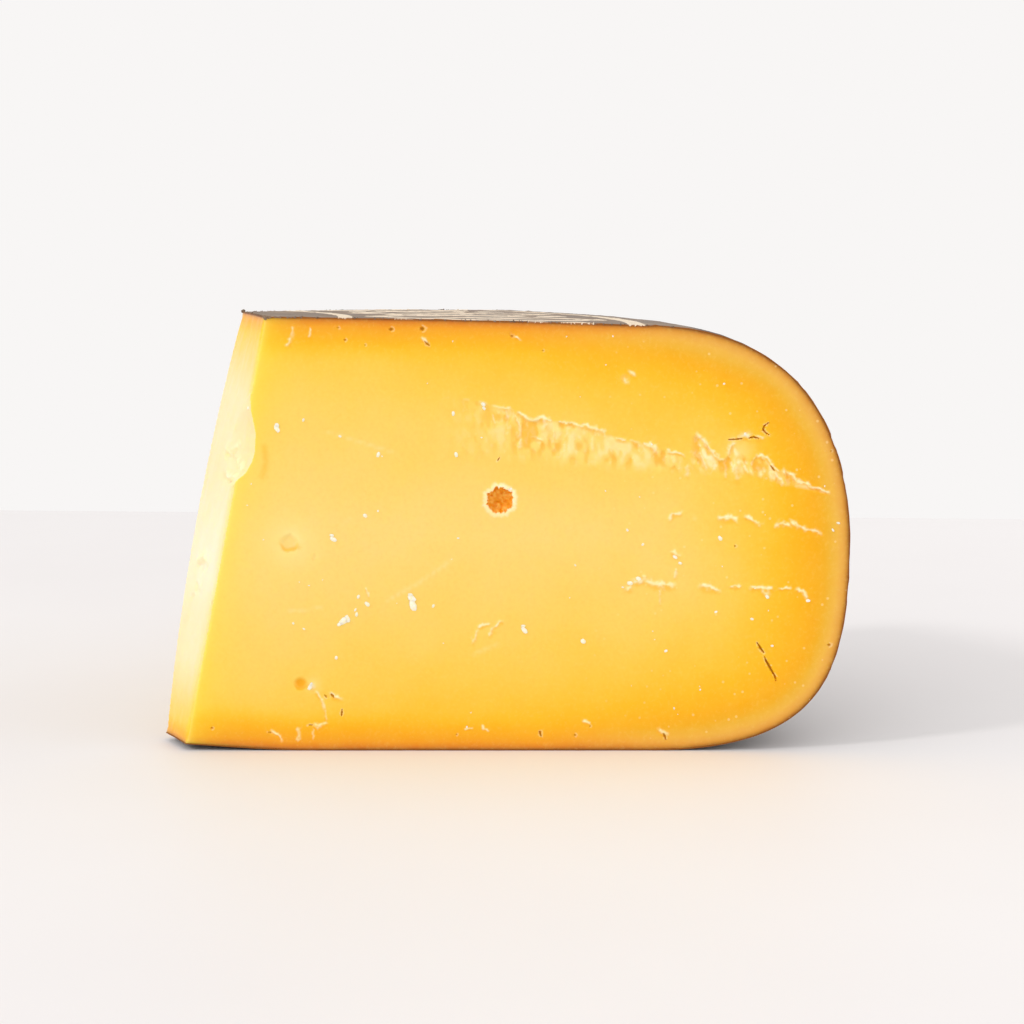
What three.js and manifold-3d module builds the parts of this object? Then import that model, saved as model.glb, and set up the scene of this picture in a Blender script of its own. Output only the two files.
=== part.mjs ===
// A wedge of hard yellow cheese: an eighth of a 38 cm wheel, standing on the wheel's flat base.
// It has two pieces: the paste, and the thin coloured coat on the wheel's top, rim and base.
// Millimetres, +Z up. +X runs along the front cut, from the nose to the rim, and +Y into the wedge.
// The origin lies under the middle of the wedge, on the surface that it stands on.

import * as THREE from "three";
import { mergeVertices } from "three/addons/utils/BufferGeometryUtils.js";
import Module from "manifold-3d";

const wasm = await Module();
wasm.setup();

// The wheel that the wedge is cut from, as radii and heights of its outer surface.
const wheelRadius = 191.2;
const bellyHeight = 52; // where the rim is widest
const topHeight = 112.4; // at the wheel's axis, the highest point of the domed top
const shoulderRadius = 141; // where the dome turns over into the rim
const shoulderHeight = 110;
const shoulderSlope = 0.035; // how steeply the dome falls there
const baseRadius = 140; // outer edge of the flat ring that the wheel stands on
const dishRadius = 52; // inner edge of that ring: the base is a little hollow inside it
const dishRise = 2.4;

// How far each round stretch of the profile reaches towards its next tangent.
const shoulderPull = { alongTop: 30, alongRim: 39 };
const heelPull = { alongRim: 34, alongBase: 43 };

const coatThickness = 0.8;
const coatGap = 0.3; // left free between the coat and the paste

// The cuts. The front cut is the plane y = 0 through the wheel's axis, and the back cut turns from it.
const wedgeAngle = THREE.MathUtils.degToRad(45);

// The nose is cut off at a slant. Each line gives x at the height z, on the front and the back cut.
const noseFront = (z) => 19.5 + 0.197 * z;
const noseBack = (z) => 12.8 + 0.092 * z + 0.00075 * z * z;
const noseLevels = 14; // straight steps that follow the curved back line of the nose

// Round eyes in the cut faces: along is the distance from the wheel's axis, and deep is the eye's depth.
const eyes = [
  { cut: "front", along: 101.3, z: 65.6, radius: 3.5, deep: 6 },
  { cut: "front", along: 49.8, z: 17.4, radius: 2.3, deep: 2.6 },
  { cut: "front", along: 47.4, z: 54, radius: 2.6, deep: 1.2 },
  { cut: "back", along: 74, z: 41, radius: 3.1, deep: 4.5 },
  { cut: "back", along: 132, z: 72, radius: 2.4, deep: 3.5 },
];

// A shell-shaped chip where the nose meets the front cut, as the centre and semi-axes of an ellipsoid.
const noseChip = { centre: [34, -2.6, 82], size: [6.4, 5, 11] };

const wheelSegments = 160; // sides of the whole wheel
const curveSteps = 14; // along each curve of its section
const eyeSegments = 20;

// A closed geometry as a solid, with its shared vertices merged.
function solidOf(geometry) {
  const bare = geometry.index ? geometry.toNonIndexed() : geometry.clone();
  bare.deleteAttribute("normal");
  bare.deleteAttribute("uv");
  const merged = mergeVertices(bare, 1e-4);
  const vertProperties = new Float32Array(merged.attributes.position.array);
  const triVerts = new Uint32Array(merged.index.array);
  return new wasm.Manifold(new wasm.Mesh({ numProp: 3, vertProperties, triVerts }));
}

// A solid as a geometry that a mesh can show.
function geometryOf(solid) {
  const { numProp, numVert, vertProperties, triVerts } = solid.getMesh();
  const positions = new Float32Array(numVert * 3);
  for (let i = 0; i < numVert; i++) {
    positions.set(vertProperties.subarray(i * numProp, i * numProp + 3), i * 3);
  }
  const geometry = new THREE.BufferGeometry();
  geometry.setAttribute("position", new THREE.BufferAttribute(positions, 3));
  geometry.setIndex(new THREE.BufferAttribute(triVerts, 1));
  geometry.computeVertexNormals();
  return geometry;
}

// Half of the wheel's section, from the axis at the base round to the axis at the top.
function outerProfile() {
  const half = new THREE.Path();
  half.moveTo(0, dishRise);
  half.bezierCurveTo(dishRadius * 0.4, dishRise * 0.9, dishRadius * 0.7, 0, dishRadius, 0);
  half.lineTo(baseRadius, 0);
  half.bezierCurveTo(
    baseRadius + heelPull.alongBase,
    0,
    wheelRadius,
    bellyHeight - heelPull.alongRim,
    wheelRadius,
    bellyHeight,
  );
  half.bezierCurveTo(
    wheelRadius,
    bellyHeight + shoulderPull.alongRim,
    shoulderRadius + shoulderPull.alongTop,
    shoulderHeight - shoulderSlope * shoulderPull.alongTop,
    shoulderRadius,
    shoulderHeight,
  );
  half.bezierCurveTo(
    shoulderRadius * 0.66,
    shoulderHeight + shoulderSlope * shoulderRadius * 0.34,
    shoulderRadius * 0.33,
    topHeight,
    0,
    topHeight,
  );
  return half.getPoints(curveSteps);
}

// The same section moved inwards by a distance, keeping both ends on the axis.
function profileInset(distance) {
  const points = outerProfile();
  return points.map((point, i) => {
    const before = points[Math.max(i - 1, 0)];
    const after = points[Math.min(i + 1, points.length - 1)];
    const run = after.clone().sub(before).normalize();
    const inwards = new THREE.Vector2(-run.y, run.x);
    const moved = point.clone().addScaledVector(inwards, distance);
    const onAxis = i === 0 || i === points.length - 1;
    return onAxis ? new THREE.Vector2(0, moved.y) : moved;
  });
}

// The whole wheel, with its outer surface moved inwards by a distance.
function wheel(distance) {
  const turned = new THREE.LatheGeometry(profileInset(distance), wheelSegments);
  return solidOf(turned.rotateX(Math.PI / 2));
}

// A solid through stacked outlines that all have the same number of points, anticlockwise from above.
function stack(outlines) {
  const corners = outlines[0].length;
  const positions = outlines.flat().flat();
  const faces = [];
  for (let level = 0; level + 1 < outlines.length; level++) {
    for (let i = 0; i < corners; i++) {
      const a = level * corners + i;
      const b = level * corners + ((i + 1) % corners);
      faces.push(a, b, b + corners, a, b + corners, a + corners);
    }
  }
  const last = (outlines.length - 1) * corners;
  for (let i = 1; i + 1 < corners; i++) {
    faces.push(0, i + 1, i);
    faces.push(last, last + i, last + i + 1);
  }
  const geometry = new THREE.BufferGeometry();
  geometry.setAttribute("position", new THREE.Float32BufferAttribute(positions, 3));
  geometry.setIndex(faces);
  return solidOf(geometry);
}

// The block between the three cuts, taller than the wheel and reaching past its rim.
function cutBlock() {
  const reach = wheelRadius * 1.3;
  const low = -5;
  const high = topHeight + 5;
  const outlines = [];
  for (let level = 0; level <= noseLevels; level++) {
    const z = low + ((high - low) * level) / noseLevels;
    outlines.push([
      [noseFront(z), 0, z],
      [reach, 0, z],
      [reach, reach * Math.tan(wedgeAngle), z],
      [noseBack(z), noseBack(z) * Math.tan(wedgeAngle), z],
    ]);
  }
  return stack(outlines);
}

// An ellipsoid, turned about the wheel's axis with the cut that it belongs to.
function ellipsoid(centre, size, turn) {
  const ball = new THREE.SphereGeometry(1, eyeSegments, eyeSegments / 2);
  const placed = ball.scale(...size).translate(...centre);
  return solidOf(placed.rotateZ(turn));
}

function eyeHole({ cut, along, z, radius, deep }) {
  const turn = cut === "back" ? wedgeAngle : 0;
  return ellipsoid([along, 0, z], [radius, deep, radius], turn);
}

function paste(block) {
  let cheese = wheel(coatThickness + coatGap).intersect(block);
  cheese = cheese.subtract(ellipsoid(noseChip.centre, noseChip.size, 0));
  for (const eye of eyes) {
    cheese = cheese.subtract(eyeHole(eye));
  }
  return geometryOf(cheese);
}

function coat(block) {
  const shell = wheel(0).subtract(wheel(coatThickness));
  return geometryOf(shell.intersect(block));
}

const pasteMaterial = new THREE.MeshStandardMaterial({ color: 0xfdc650, roughness: 0.45, metalness: 0 });
const coatMaterial = new THREE.MeshStandardMaterial({ color: 0x4b4644, roughness: 0.5, metalness: 0 });

function namedMesh(name, geometry, material) {
  const mesh = new THREE.Mesh(geometry, material);
  mesh.name = name;
  return mesh;
}

const block = cutBlock();
const wedge = new THREE.Group();
wedge.add(namedMesh("cheese_paste", paste(block), pasteMaterial));
wedge.add(namedMesh("rind_coat", coat(block), coatMaterial));

// From the wheel's axis to the middle of the wedge's footprint.
const middle = new THREE.Box3().setFromObject(wedge).getCenter(new THREE.Vector3());
wedge.position.set(-middle.x, -middle.y, 0);

export default wedge;
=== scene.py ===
# A wedge of aged hard yellow cheese, an eighth of a wheel, standing on the wheel's base.
import math
from functools import partial

import bmesh
import bpy
import numpy as np
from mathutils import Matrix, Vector
from mathutils.geometry import delaunay_2d_cdt


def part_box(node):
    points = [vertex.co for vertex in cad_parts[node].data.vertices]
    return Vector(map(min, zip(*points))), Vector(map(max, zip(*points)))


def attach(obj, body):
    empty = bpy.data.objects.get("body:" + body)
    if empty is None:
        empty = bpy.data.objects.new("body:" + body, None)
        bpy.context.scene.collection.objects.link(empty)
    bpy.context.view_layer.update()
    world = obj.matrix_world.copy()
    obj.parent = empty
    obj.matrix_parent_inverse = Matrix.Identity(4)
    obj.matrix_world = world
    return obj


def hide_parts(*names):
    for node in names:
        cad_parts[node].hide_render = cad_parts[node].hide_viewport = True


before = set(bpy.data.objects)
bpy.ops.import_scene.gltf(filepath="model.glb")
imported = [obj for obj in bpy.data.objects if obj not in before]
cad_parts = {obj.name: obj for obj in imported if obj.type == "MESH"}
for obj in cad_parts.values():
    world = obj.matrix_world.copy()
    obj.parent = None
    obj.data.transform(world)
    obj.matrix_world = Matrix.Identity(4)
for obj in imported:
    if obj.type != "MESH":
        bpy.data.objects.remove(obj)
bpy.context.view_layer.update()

mm = 0.001

# The wheel that the wedge was cut from. Lengths are in millimetres, in a frame with the wheel's
# axis at x = 0, y = 0 and the front cut along +X.
wheel = {
    "angle": math.radians(45),
    "belly": 52,             # height where the rim is widest
    "top": 112.4,            # height of the domed top at the axis
    "shoulderRadius": 141,   # where the dome turns over into the rim
    "shoulderHeight": 110,
    "shoulderSlope": 0.035,
    "shoulderPull": (30, 39),
    "baseRadius": 140,       # outer edge of the flat ring it stands on
    "dishRadius": 52,
    "dishRise": 2.4,
    "heelPull": (43, 34),
    "coatInset": 0.34,       # thickness of the coat, so how far inside it the paste begins
}
coatLow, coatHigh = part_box("rind_coat")
wheelRadius = (coatHigh.y - coatLow.y) / math.sin(wheel["angle"]) / mm
wheelAxis = np.array([coatHigh.x / mm - wheelRadius, coatLow.y / mm, 0])
print("wheel radius", round(wheelRadius, 2), "mm, axis at", wheelAxis.round(2), "mm")


def smoothStep(low, high, value):
    t = np.clip((value - low) / (high - low), 0, 1)
    return t * t * (3 - 2 * t)


def latticeNoise(u, v, seed):
    # smooth random values from 0 to 1 with one bump per unit
    table = np.random.default_rng(seed).random((97, 97))
    cellU, cellV = np.floor(u).astype(int), np.floor(v).astype(int)
    partU, partV = u - cellU, v - cellV
    partU = partU * partU * (3 - 2 * partU)
    partV = partV * partV * (3 - 2 * partV)
    left, right, near, far = cellU % 97, (cellU + 1) % 97, cellV % 97, (cellV + 1) % 97
    nearSide = table[left, near] * (1 - partU) + table[right, near] * partU
    farSide = table[left, far] * (1 - partU) + table[right, far] * partU
    return nearSide * (1 - partV) + farSide * partV


def layeredNoise(u, v, seed, layers=3):
    total, weight = 0, 0
    for layer in range(layers):
        finer, fainter = 2 ** layer, 0.55 ** layer
        total = total + latticeNoise(u * finer + 13 * layer, v * finer, seed + layer) * fainter
        weight += fainter
    return total / weight


def pathDistance(x, z, path):
    # distance from each point to a polyline, and how far along the polyline it is, from 0 to 1
    lengths = [math.dist(a, b) for a, b in zip(path, path[1:])]
    best = np.full(x.shape, 1e9)
    along = np.zeros(x.shape)
    run = 0
    for (ax, az), (bx, bz), length in zip(path, path[1:], lengths):
        t = np.clip(((x - ax) * (bx - ax) + (z - az) * (bz - az)) / length ** 2, 0, 1)
        gap = np.hypot(x - ax - t * (bx - ax), z - az - t * (bz - az))
        along = np.where(gap < best, (run + t * length) / sum(lengths), along)
        best = np.minimum(best, gap)
        run += length
    return best, along


def bezier(a, b, c, d, count=400):
    t = np.linspace(0, 1, count)[:, None]
    a, b, c, d = (np.array(p, float) for p in (a, b, c, d))
    return (1 - t) ** 3 * a + 3 * (1 - t) ** 2 * t * b + 3 * (1 - t) * t * t * c + t ** 3 * d


def wheelSection(step=0.25):
    # r and z of the wheel's outer surface, from the middle of the base to the top
    w = wheel
    slope = w["shoulderSlope"]
    corner = (w["shoulderRadius"], w["shoulderHeight"])
    belly = (wheelRadius, w["belly"])
    curves = [
        bezier((0, w["dishRise"]), (w["dishRadius"] * 0.4, w["dishRise"] * 0.9),
               (w["dishRadius"] * 0.7, 0), (w["dishRadius"], 0)),
        np.array([(w["dishRadius"], 0), (w["baseRadius"], 0)], float),
        bezier((w["baseRadius"], 0), (w["baseRadius"] + w["heelPull"][0], 0),
               (wheelRadius, w["belly"] - w["heelPull"][1]), belly),
        bezier(belly, (wheelRadius, w["belly"] + w["shoulderPull"][1]),
               (corner[0] + w["shoulderPull"][0], corner[1] - slope * w["shoulderPull"][0]), corner),
        bezier(corner, (corner[0] * 0.66, corner[1] + slope * corner[0] * 0.34),
               (corner[0] * 0.33, w["top"]), (0, w["top"])),
    ]
    points = np.vstack(curves)
    keep = np.append(True, np.hypot(*np.diff(points, axis=0).T) > 1e-6)
    points = points[keep]
    run = np.append(0, np.cumsum(np.hypot(*np.diff(points, axis=0).T)))
    even = np.linspace(0, run[-1], int(run[-1] / step))
    r, z = np.interp(even, run, points[:, 0]), np.interp(even, run, points[:, 1])
    slopeR, slopeZ = np.gradient(r, even), np.gradient(z, even)
    size = np.hypot(slopeR, slopeZ)
    return {"s": even, "r": r, "z": z, "normalR": -slopeZ / size, "normalZ": slopeR / size}


section = wheelSection()


def insetSection(inset):
    r = section["r"] + section["normalR"] * inset
    z = section["z"] + section["normalZ"] * inset
    return np.maximum(r, 0), z


def depthBelowRind(r, z):
    # how deep each point lies below the wheel's outer surface
    r, z = np.atleast_1d(r), np.atleast_1d(z)
    sample = slice(None, None, 4)
    ring = np.stack([section["r"][sample], section["z"][sample]], 1)
    normal = np.stack([section["normalR"][sample], section["normalZ"][sample]], 1)
    depth = np.empty(r.shape)
    for start in range(0, len(r), 20000):
        points = np.stack([r[start:start + 20000], z[start:start + 20000]], 1)
        gap = ((points[:, None] - ring[None]) ** 2).sum(2)
        nearest = gap.argmin(1)
        straight = np.sqrt(gap[np.arange(len(points)), nearest])
        across = ((points - ring[nearest]) * normal[nearest]).sum(1)
        depth[start:start + 20000] = np.where(straight < 3, across, np.copysign(straight, across))
    return depth


def noseFront(z):
    return 19.5 + 0.197 * z


def noseBack(z):
    return 12.8 + 0.092 * z + 0.00075 * z * z


def noseRadius(turn, z):
    # distance from the wheel's axis to the nose facet, looking out along an angle
    front, back = noseFront(z), noseBack(z)
    return front / (np.cos(turn) - np.sin(turn) * (back - front) / back)


def noseCrossings(inset, turn):
    # where the facet meets the base and the top, as lengths along the wheel's section
    r, z = insetSection(inset)
    beyond = r - noseRadius(turn, z)
    outside = np.nonzero(beyond > 0)[0]
    first, last = outside[0], outside[-1]
    low = np.interp(0, beyond[first - 1:first + 1], section["s"][first - 1:first + 1])
    high = np.interp(0, -beyond[last:last + 2], section["s"][last:last + 2])
    return low, high


def onWheel(s, turn, inset=0):
    # a point on the wheel's surface, in the wheel's frame
    r, z = insetSection(inset)
    r, z = np.interp(s, section["s"], r), np.interp(s, section["s"], z)
    return np.stack([r * np.cos(turn), r * np.sin(turn), z + 0 * turn], -1)


angle = wheel["angle"]

# The masks that colour the paste where something happened to it, and painted shade and highlights in its
# hollows, on its ridges and over its facet, in the order they are laid on.
marksAndShade = ("pale", "dryAndLit", "tornAndHighlight", "amberShade", "hollow", "crackAndPitShade")

# What each cut face shows, in millimetres: along is measured from the wheel's axis, then the height.
frontCut = {
    "turn": 0.0,
    "inwards": np.array([0, 1, 0]),
    "noseAlong": noseFront,
    "seed": 11,
    "grid": 0.95,
    "bands": [   # torn bands, where the paste split just behind the knife
        {"upper": [(84, 92), (91.7, 91.3), (96.3, 90.8), (102.4, 89.3), (106.4, 88), (109.5, 85.8),
                   (112.8, 86.4), (119.2, 85.2), (124.8, 84.3), (128.4, 82.9), (131.2, 81.7), (134, 80.9),
                   (138.8, 79.9), (141.4, 78.2), (144.7, 78), (149, 76.6)],
         "lower": [(84, 73), (96.2, 73), (103.9, 75), (116.7, 73.8), (129.4, 72.8), (139.7, 72.2),
                   (149, 71.8)],
         "depth": 0.8, "dimple": 0.55, "skew": 0.06, "fadeIn": 16, "quietUntil": 103, "tornAndHighlight": 0.36,
         "amberShade": 0.6},
        {"upper": [(149.5, 82.6), (151.6, 82.1), (153.4, 80.8), (154.8, 78.8), (157, 76.1), (158.5, 76.2),
                   (159.8, 77.7), (160.6, 80), (161.8, 79), (163.6, 76.7), (165.7, 75.7), (166.9, 77),
                   (169, 76.5), (170.8, 74.4), (172.3, 73.1), (174.1, 73.1), (175.9, 71.8), (177.2, 70),
                   (178.8, 69.9), (180.6, 68.7), (183.1, 68.2), (186, 67.4)],
         "lower": [(149.5, 73), (154, 71.6), (157, 72.1), (159.1, 71.1), (161.9, 70.5), (163.9, 72.1),
                   (165.7, 71.6), (170.3, 70), (173.9, 69), (177.3, 68.5), (181.1, 67.7), (186, 66.6)],
         "depth": 0.6, "dimple": 0.7, "skew": 0.25, "fadeIn": 2, "quietUntil": 148, "tornAndHighlight": 0.7,
         "amberShade": 0.7},
    ],
    "lips": [    # short torn flakes: a path and half its width
        ([(102.2, 89.1), (103.8, 88.7)], 0.4), ([(103, 88.4), (103.1, 86.3)], 0.45),
        ([(106, 88.1), (107.8, 86.7), (109.3, 85.8)], 0.4),
        ([(110.3, 85.9), (111.7, 86.4), (113.6, 86.4)], 0.5),
        ([(112.6, 86.2), (113.2, 85), (112.4, 84.2)], 0.7),
        ([(105.4, 87), (106.4, 84.6), (106.2, 81.4)], 0.3), ([(116.4, 85.5), (118.7, 85.1)], 0.28),
        ([(119.9, 85.1), (121, 84.6)], 0.35),
        ([(122.4, 84.7), (124.8, 84.2), (126.5, 83.8), (128.2, 83)], 0.4),
        ([(124.8, 84.1), (126.2, 83.7)], 0.65), ([(130.7, 81.6), (133.5, 80.8)], 0.3),
        ([(138.8, 79.8), (140.5, 79.2), (141, 78)], 0.6),
        ([(144.3, 78), (146.2, 77.6), (148.4, 76.9)], 0.26), ([(114.9, 83.3), (114.9, 80.4)], 0.35),
        ([(109.2, 81.5), (111.9, 81)], 0.3), ([(99.4, 87.3), (100, 85)], 0.28),
        ([(106.5, 80.8), (106.3, 79)], 0.26),
        ([(151.4, 82.3), (153.3, 80.8), (154.7, 78.6), (157.2, 76)], 0.5),
        ([(150.9, 77.6), (152.1, 76.7)], 0.7), ([(152.1, 76.7), (152.9, 75.6), (153.9, 74)], 0.55),
        ([(149.3, 74.5), (149.3, 71.9)], 0.45), ([(158.8, 75.6), (158.9, 71.4)], 0.34),
        ([(159.8, 77.2), (160.2, 78.6), (160.9, 80.2)], 0.45),
        ([(162.5, 75.5), (162, 73.2), (161.7, 71)], 0.6), ([(163.6, 74.4), (164.8, 72.7)], 0.4),
        ([(167.2, 74), (167.7, 71.7)], 0.5), ([(167.2, 77), (169.5, 76.3), (170.9, 74.2)], 0.42),
        ([(171.4, 72.8), (172.2, 71.4), (174, 69.5)], 0.45),
        ([(173.7, 73.1), (175.8, 71.9), (177.3, 70)], 0.4),
        ([(177, 70.2), (178.9, 69.9), (180.9, 68.7)], 0.45),
        ([(180.6, 68.8), (183, 68.3), (185.4, 67.5)], 0.32),
        ([(162.6, 81.4), (163.8, 82.2), (164.8, 82)], 0.6), ([(167, 81.9), (168.4, 81.2)], 0.5),
        ([(157.4, 60.9), (161.5, 60.8), (162.2, 60)], 0.5),
        ([(163.9, 61.2), (165.9, 60.7), (167.7, 59.2)], 0.42),
        ([(172, 58.4), (172.9, 59.6), (175.4, 59.1)], 0.45),
        ([(175.8, 59.9), (178.3, 58.4), (183.3, 57)], 0.42),
        ([(144.8, 60.6), (145.5, 61.8), (147.5, 62.3)], 0.4), ([(133.9, 42.6), (135, 42.9)], 0.5),
        ([(135.6, 44.2), (138.2, 44.6), (138.4, 46)], 0.5),
        ([(139.2, 44.4), (142.4, 43.6), (145.9, 43.4)], 0.6), ([(142.2, 43.4), (143.1, 42.4)], 0.55),
        ([(153, 43.2), (155.3, 42.9), (157.3, 42)], 0.55), ([(160.5, 43), (163, 43.2)], 0.28),
        ([(165.8, 42.9), (169.6, 42.6), (171.4, 42.5)], 0.42), ([(169, 42), (169.9, 41)], 0.6),
        ([(173, 42.4), (175.9, 42.6)], 0.32), ([(177.8, 42.4), (179.4, 41.6), (180.4, 40)], 0.45),
        ([(142.4, 42.1), (142.5, 38.6)], 0.3), ([(146.2, 45.4), (146.7, 47.6)], 0.3),
        ([(145.6, 52.2), (147.2, 51.2)], 0.5), ([(53, 17.6), (52.9, 16.8)], 0.4),
        ([(53.6, 15.6), (54.9, 13.8), (55.8, 11)], 0.34), ([(55.9, 10.6), (56.5, 8.2)], 0.26),
        ([(56.5, 7.2), (54.2, 6.4), (53.2, 6.8)], 0.42),
        ([(57.4, 15.6), (58.5, 14.4), (60.4, 13.8)], 0.42), ([(42.2, 5.2), (44, 4), (44.6, 2.6)], 0.4),
        ([(49, 5.8), (49, 2.4)], 0.36), ([(52.8, 5.6), (52.8, 3)], 0.2),
        ([(48.9, 109.4), (48.6, 107.2)], 0.34), ([(48.5, 106.6), (47.2, 104.8)], 0.4),
        ([(53.2, 109.3), (53, 107.2)], 0.2), ([(134.2, 98.4), (135.2, 97.4)], 0.5),
        ([(132.8, 96.4), (133.4, 95.6)], 0.4), ([(104.2, 107.6), (106.4, 106.4)], 0.3),
        ([(81.7, 106.6), (83.3, 105.2)], 0.3), ([(94.4, 28.6), (95.4, 31.4)], 0.4),
        ([(95.8, 32.6), (98.4, 33.4)], 0.3), ([(98.6, 30.4), (99.6, 32.2)], 0.4),
        ([(99.8, 32.4), (101.7, 34.2)], 0.34), ([(142.4, 5.6), (144.4, 4.2)], 0.4),
        ([(122.8, 7.9), (124.6, 7.1)], 0.35), ([(67, 42.6), (67.6, 40.2)], 0.26),
        ([(96.6, 6.4), (98.2, 5.2)], 0.3), ([(92.4, 5.6), (94, 6)], 0.24),
    ],
    "cracks": [  # narrow fissures, dark with painted shade: a path, half its width and its depth
        ([(159.6, 80.9), (161.9, 81), (163.2, 81.2)], 0.2, 1.1),
        ([(164.6, 81.2), (165.9, 81.6), (167.4, 81.2)], 0.24, 1.2),
        ([(169.9, 85.3), (168.6, 84.4), (168.4, 83.4), (169, 82.7), (170.1, 82)], 0.2, 1.2),
        ([(167.6, 28.4), (168.5, 26.8), (169.4, 25.6)], 0.26, 1.4),
        ([(169.4, 24.6), (171, 21.8), (172, 20)], 0.3, 1.6), ([(172, 20.4), (172.6, 18.4)], 0.22, 1.2),
        ([(57.6, 15), (58.3, 14.1)], 0.4, 0.7), ([(56, 14.6), (56.4, 13.9)], 0.3, 0.6),
        ([(60.4, 10.8), (60.3, 9)], 0.22, 1.1), ([(51.4, 6.6), (52.8, 6.7)], 0.16, 0.7),
        ([(41.2, 4.9), (42.4, 4.6)], 0.18, 0.6), ([(170.4, 74.4), (171.6, 72.6)], 0.18, 0.8),
        ([(100.5, 75.3), (101.2, 76.3)], 0.13, 0.8), ([(111.5, 5), (112, 3.7)], 0.25, 1),
        ([(143.6, 4.6), (144.3, 2.9)], 0.25, 1), ([(82.2, 105.9), (83.4, 104.9)], 0.34, 0.9),
    ],
    "eyes": [    # round gas holes, with painted shade inside
        {"at": (101.3, 65.4), "radius": 3.25, "depth": 1.7, "ragged": 0.8, "halo": 1.6, "holeShadeAndRim": 0.95},
    ],
    "dents": [   # shallow cups: along, height, radius, depth, how pale and how strong the painted shade in it is
        (47.2, 54.4, 2.6, 0.55, 0.7, 0.7), (49.8, 17.6, 2.0, 0.6, 0.0, 0.95),
        (53.6, 50.6, 1, 0.25, 0.5, 0.2), (104.4, 107.6, 1, 0.3, 0, 0.5), (133, 96.6, 1.2, 0.25, 0.3, 0.4),
    ],
    "pits": [    # pinholes, dark with painted shade and with a painted highlight on the right wall: along, height and radius
        (73.7, 109, 0.6), (81.6, 109.1, 0.75), (67.1, 105, 0.3), (62, 106.3, 0.4), (104.4, 107.3, 0.45),
        (111.7, 4.9, 0.4), (120.7, 4.1, 0.4), (26.7, 5.9, 0.4), (124.6, 6.4, 0.3), (186.1, 27.8, 0.5),
        (185.8, 78, 0.3), (161.6, 53.5, 0.35), (60.3, 109.4, 0.35), (112.2, 103.6, 0.3), (90, 4.2, 0.3),
    ],
    "scratches": [   # faint pale marks of the knife
        ([(55.5, 83.4), (64, 80.9), (75.8, 77)], 0.35), ([(70.4, 38.2), (80.8, 44.2), (91.1, 51.2)], 0.4),
        ([(46, 36.4), (52, 36.9), (56.3, 37.9)], 0.3), ([(101.3, 28.5), (97, 26.4), (93.6, 25.1)], 0.5),
        ([(63, 61.5), (61, 58.4)], 0.35), ([(151.6, 60.4), (149.8, 61.6)], 0.3),
    ],
    "haloes": [   # paler places: along, height, radius and strength
        (47.4, 54.6, 9, 0.55), (47.6, 55, 5.5, 0.85), (162.5, 78, 4.5, 0.5), (53, 17.4, 2.4, 0.5),
    ],
    "crystals": [    # the larger white crystals: along, height and size
        (44.5, 83.6, 1.1), (44.5, 84.6, 0.7), (51.2, 85.9, 0.6), (60.5, 81.8, 0.5), (70.2, 77, 0.7),
        (66.8, 61.3, 0.8), (58.5, 55.3, 0.9), (58.1, 56.3, 0.6), (78.9, 38.2, 1.5), (78.7, 39.8, 1.2),
        (78.2, 40.9, 0.7), (60.9, 34, 1.3), (62, 34.7, 1), (60.1, 33.2, 0.8), (67.1, 38.5, 0.75),
        (64.9, 40.4, 0.6), (64.1, 37, 0.5), (64.4, 35.8, 0.6), (59, 24.4, 0.65), (84.1, 37.9, 0.5),
        (107.5, 31.7, 1), (107.2, 32.7, 0.6), (122.7, 28.8, 0.95), (144.1, 26.2, 0.65), (37.2, 89, 0.4),
        (89.4, 87.5, 0.7), (90.1, 77, 0.7), (157.7, 55.6, 0.75), (147.5, 49.1, 0.6), (146.3, 50.6, 0.7),
        (156.9, 36.4, 0.5), (166.2, 34.5, 0.5), (153, 16, 0.4), (171.5, 27.5, 0.5), (187.9, 59.5, 0.5),
        (186.6, 57.7, 0.5), (133.9, 57.7, 0.5), (70.1, 62.6, 0.4), (120.6, 48.6, 0.4), (104, 68.2, 0.5),
        (52.2, 16.7, 0.9), (52.5, 17.4, 0.6), (163.8, 82.3, 0.6), (134.6, 43.9, 0.9), (136.9, 45, 0.9),
        (97, 90, 0.7), (97.2, 88.9, 0.6), (170, 40.4, 0.8), (180.6, 39.3, 0.8),
    ],
}
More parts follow.
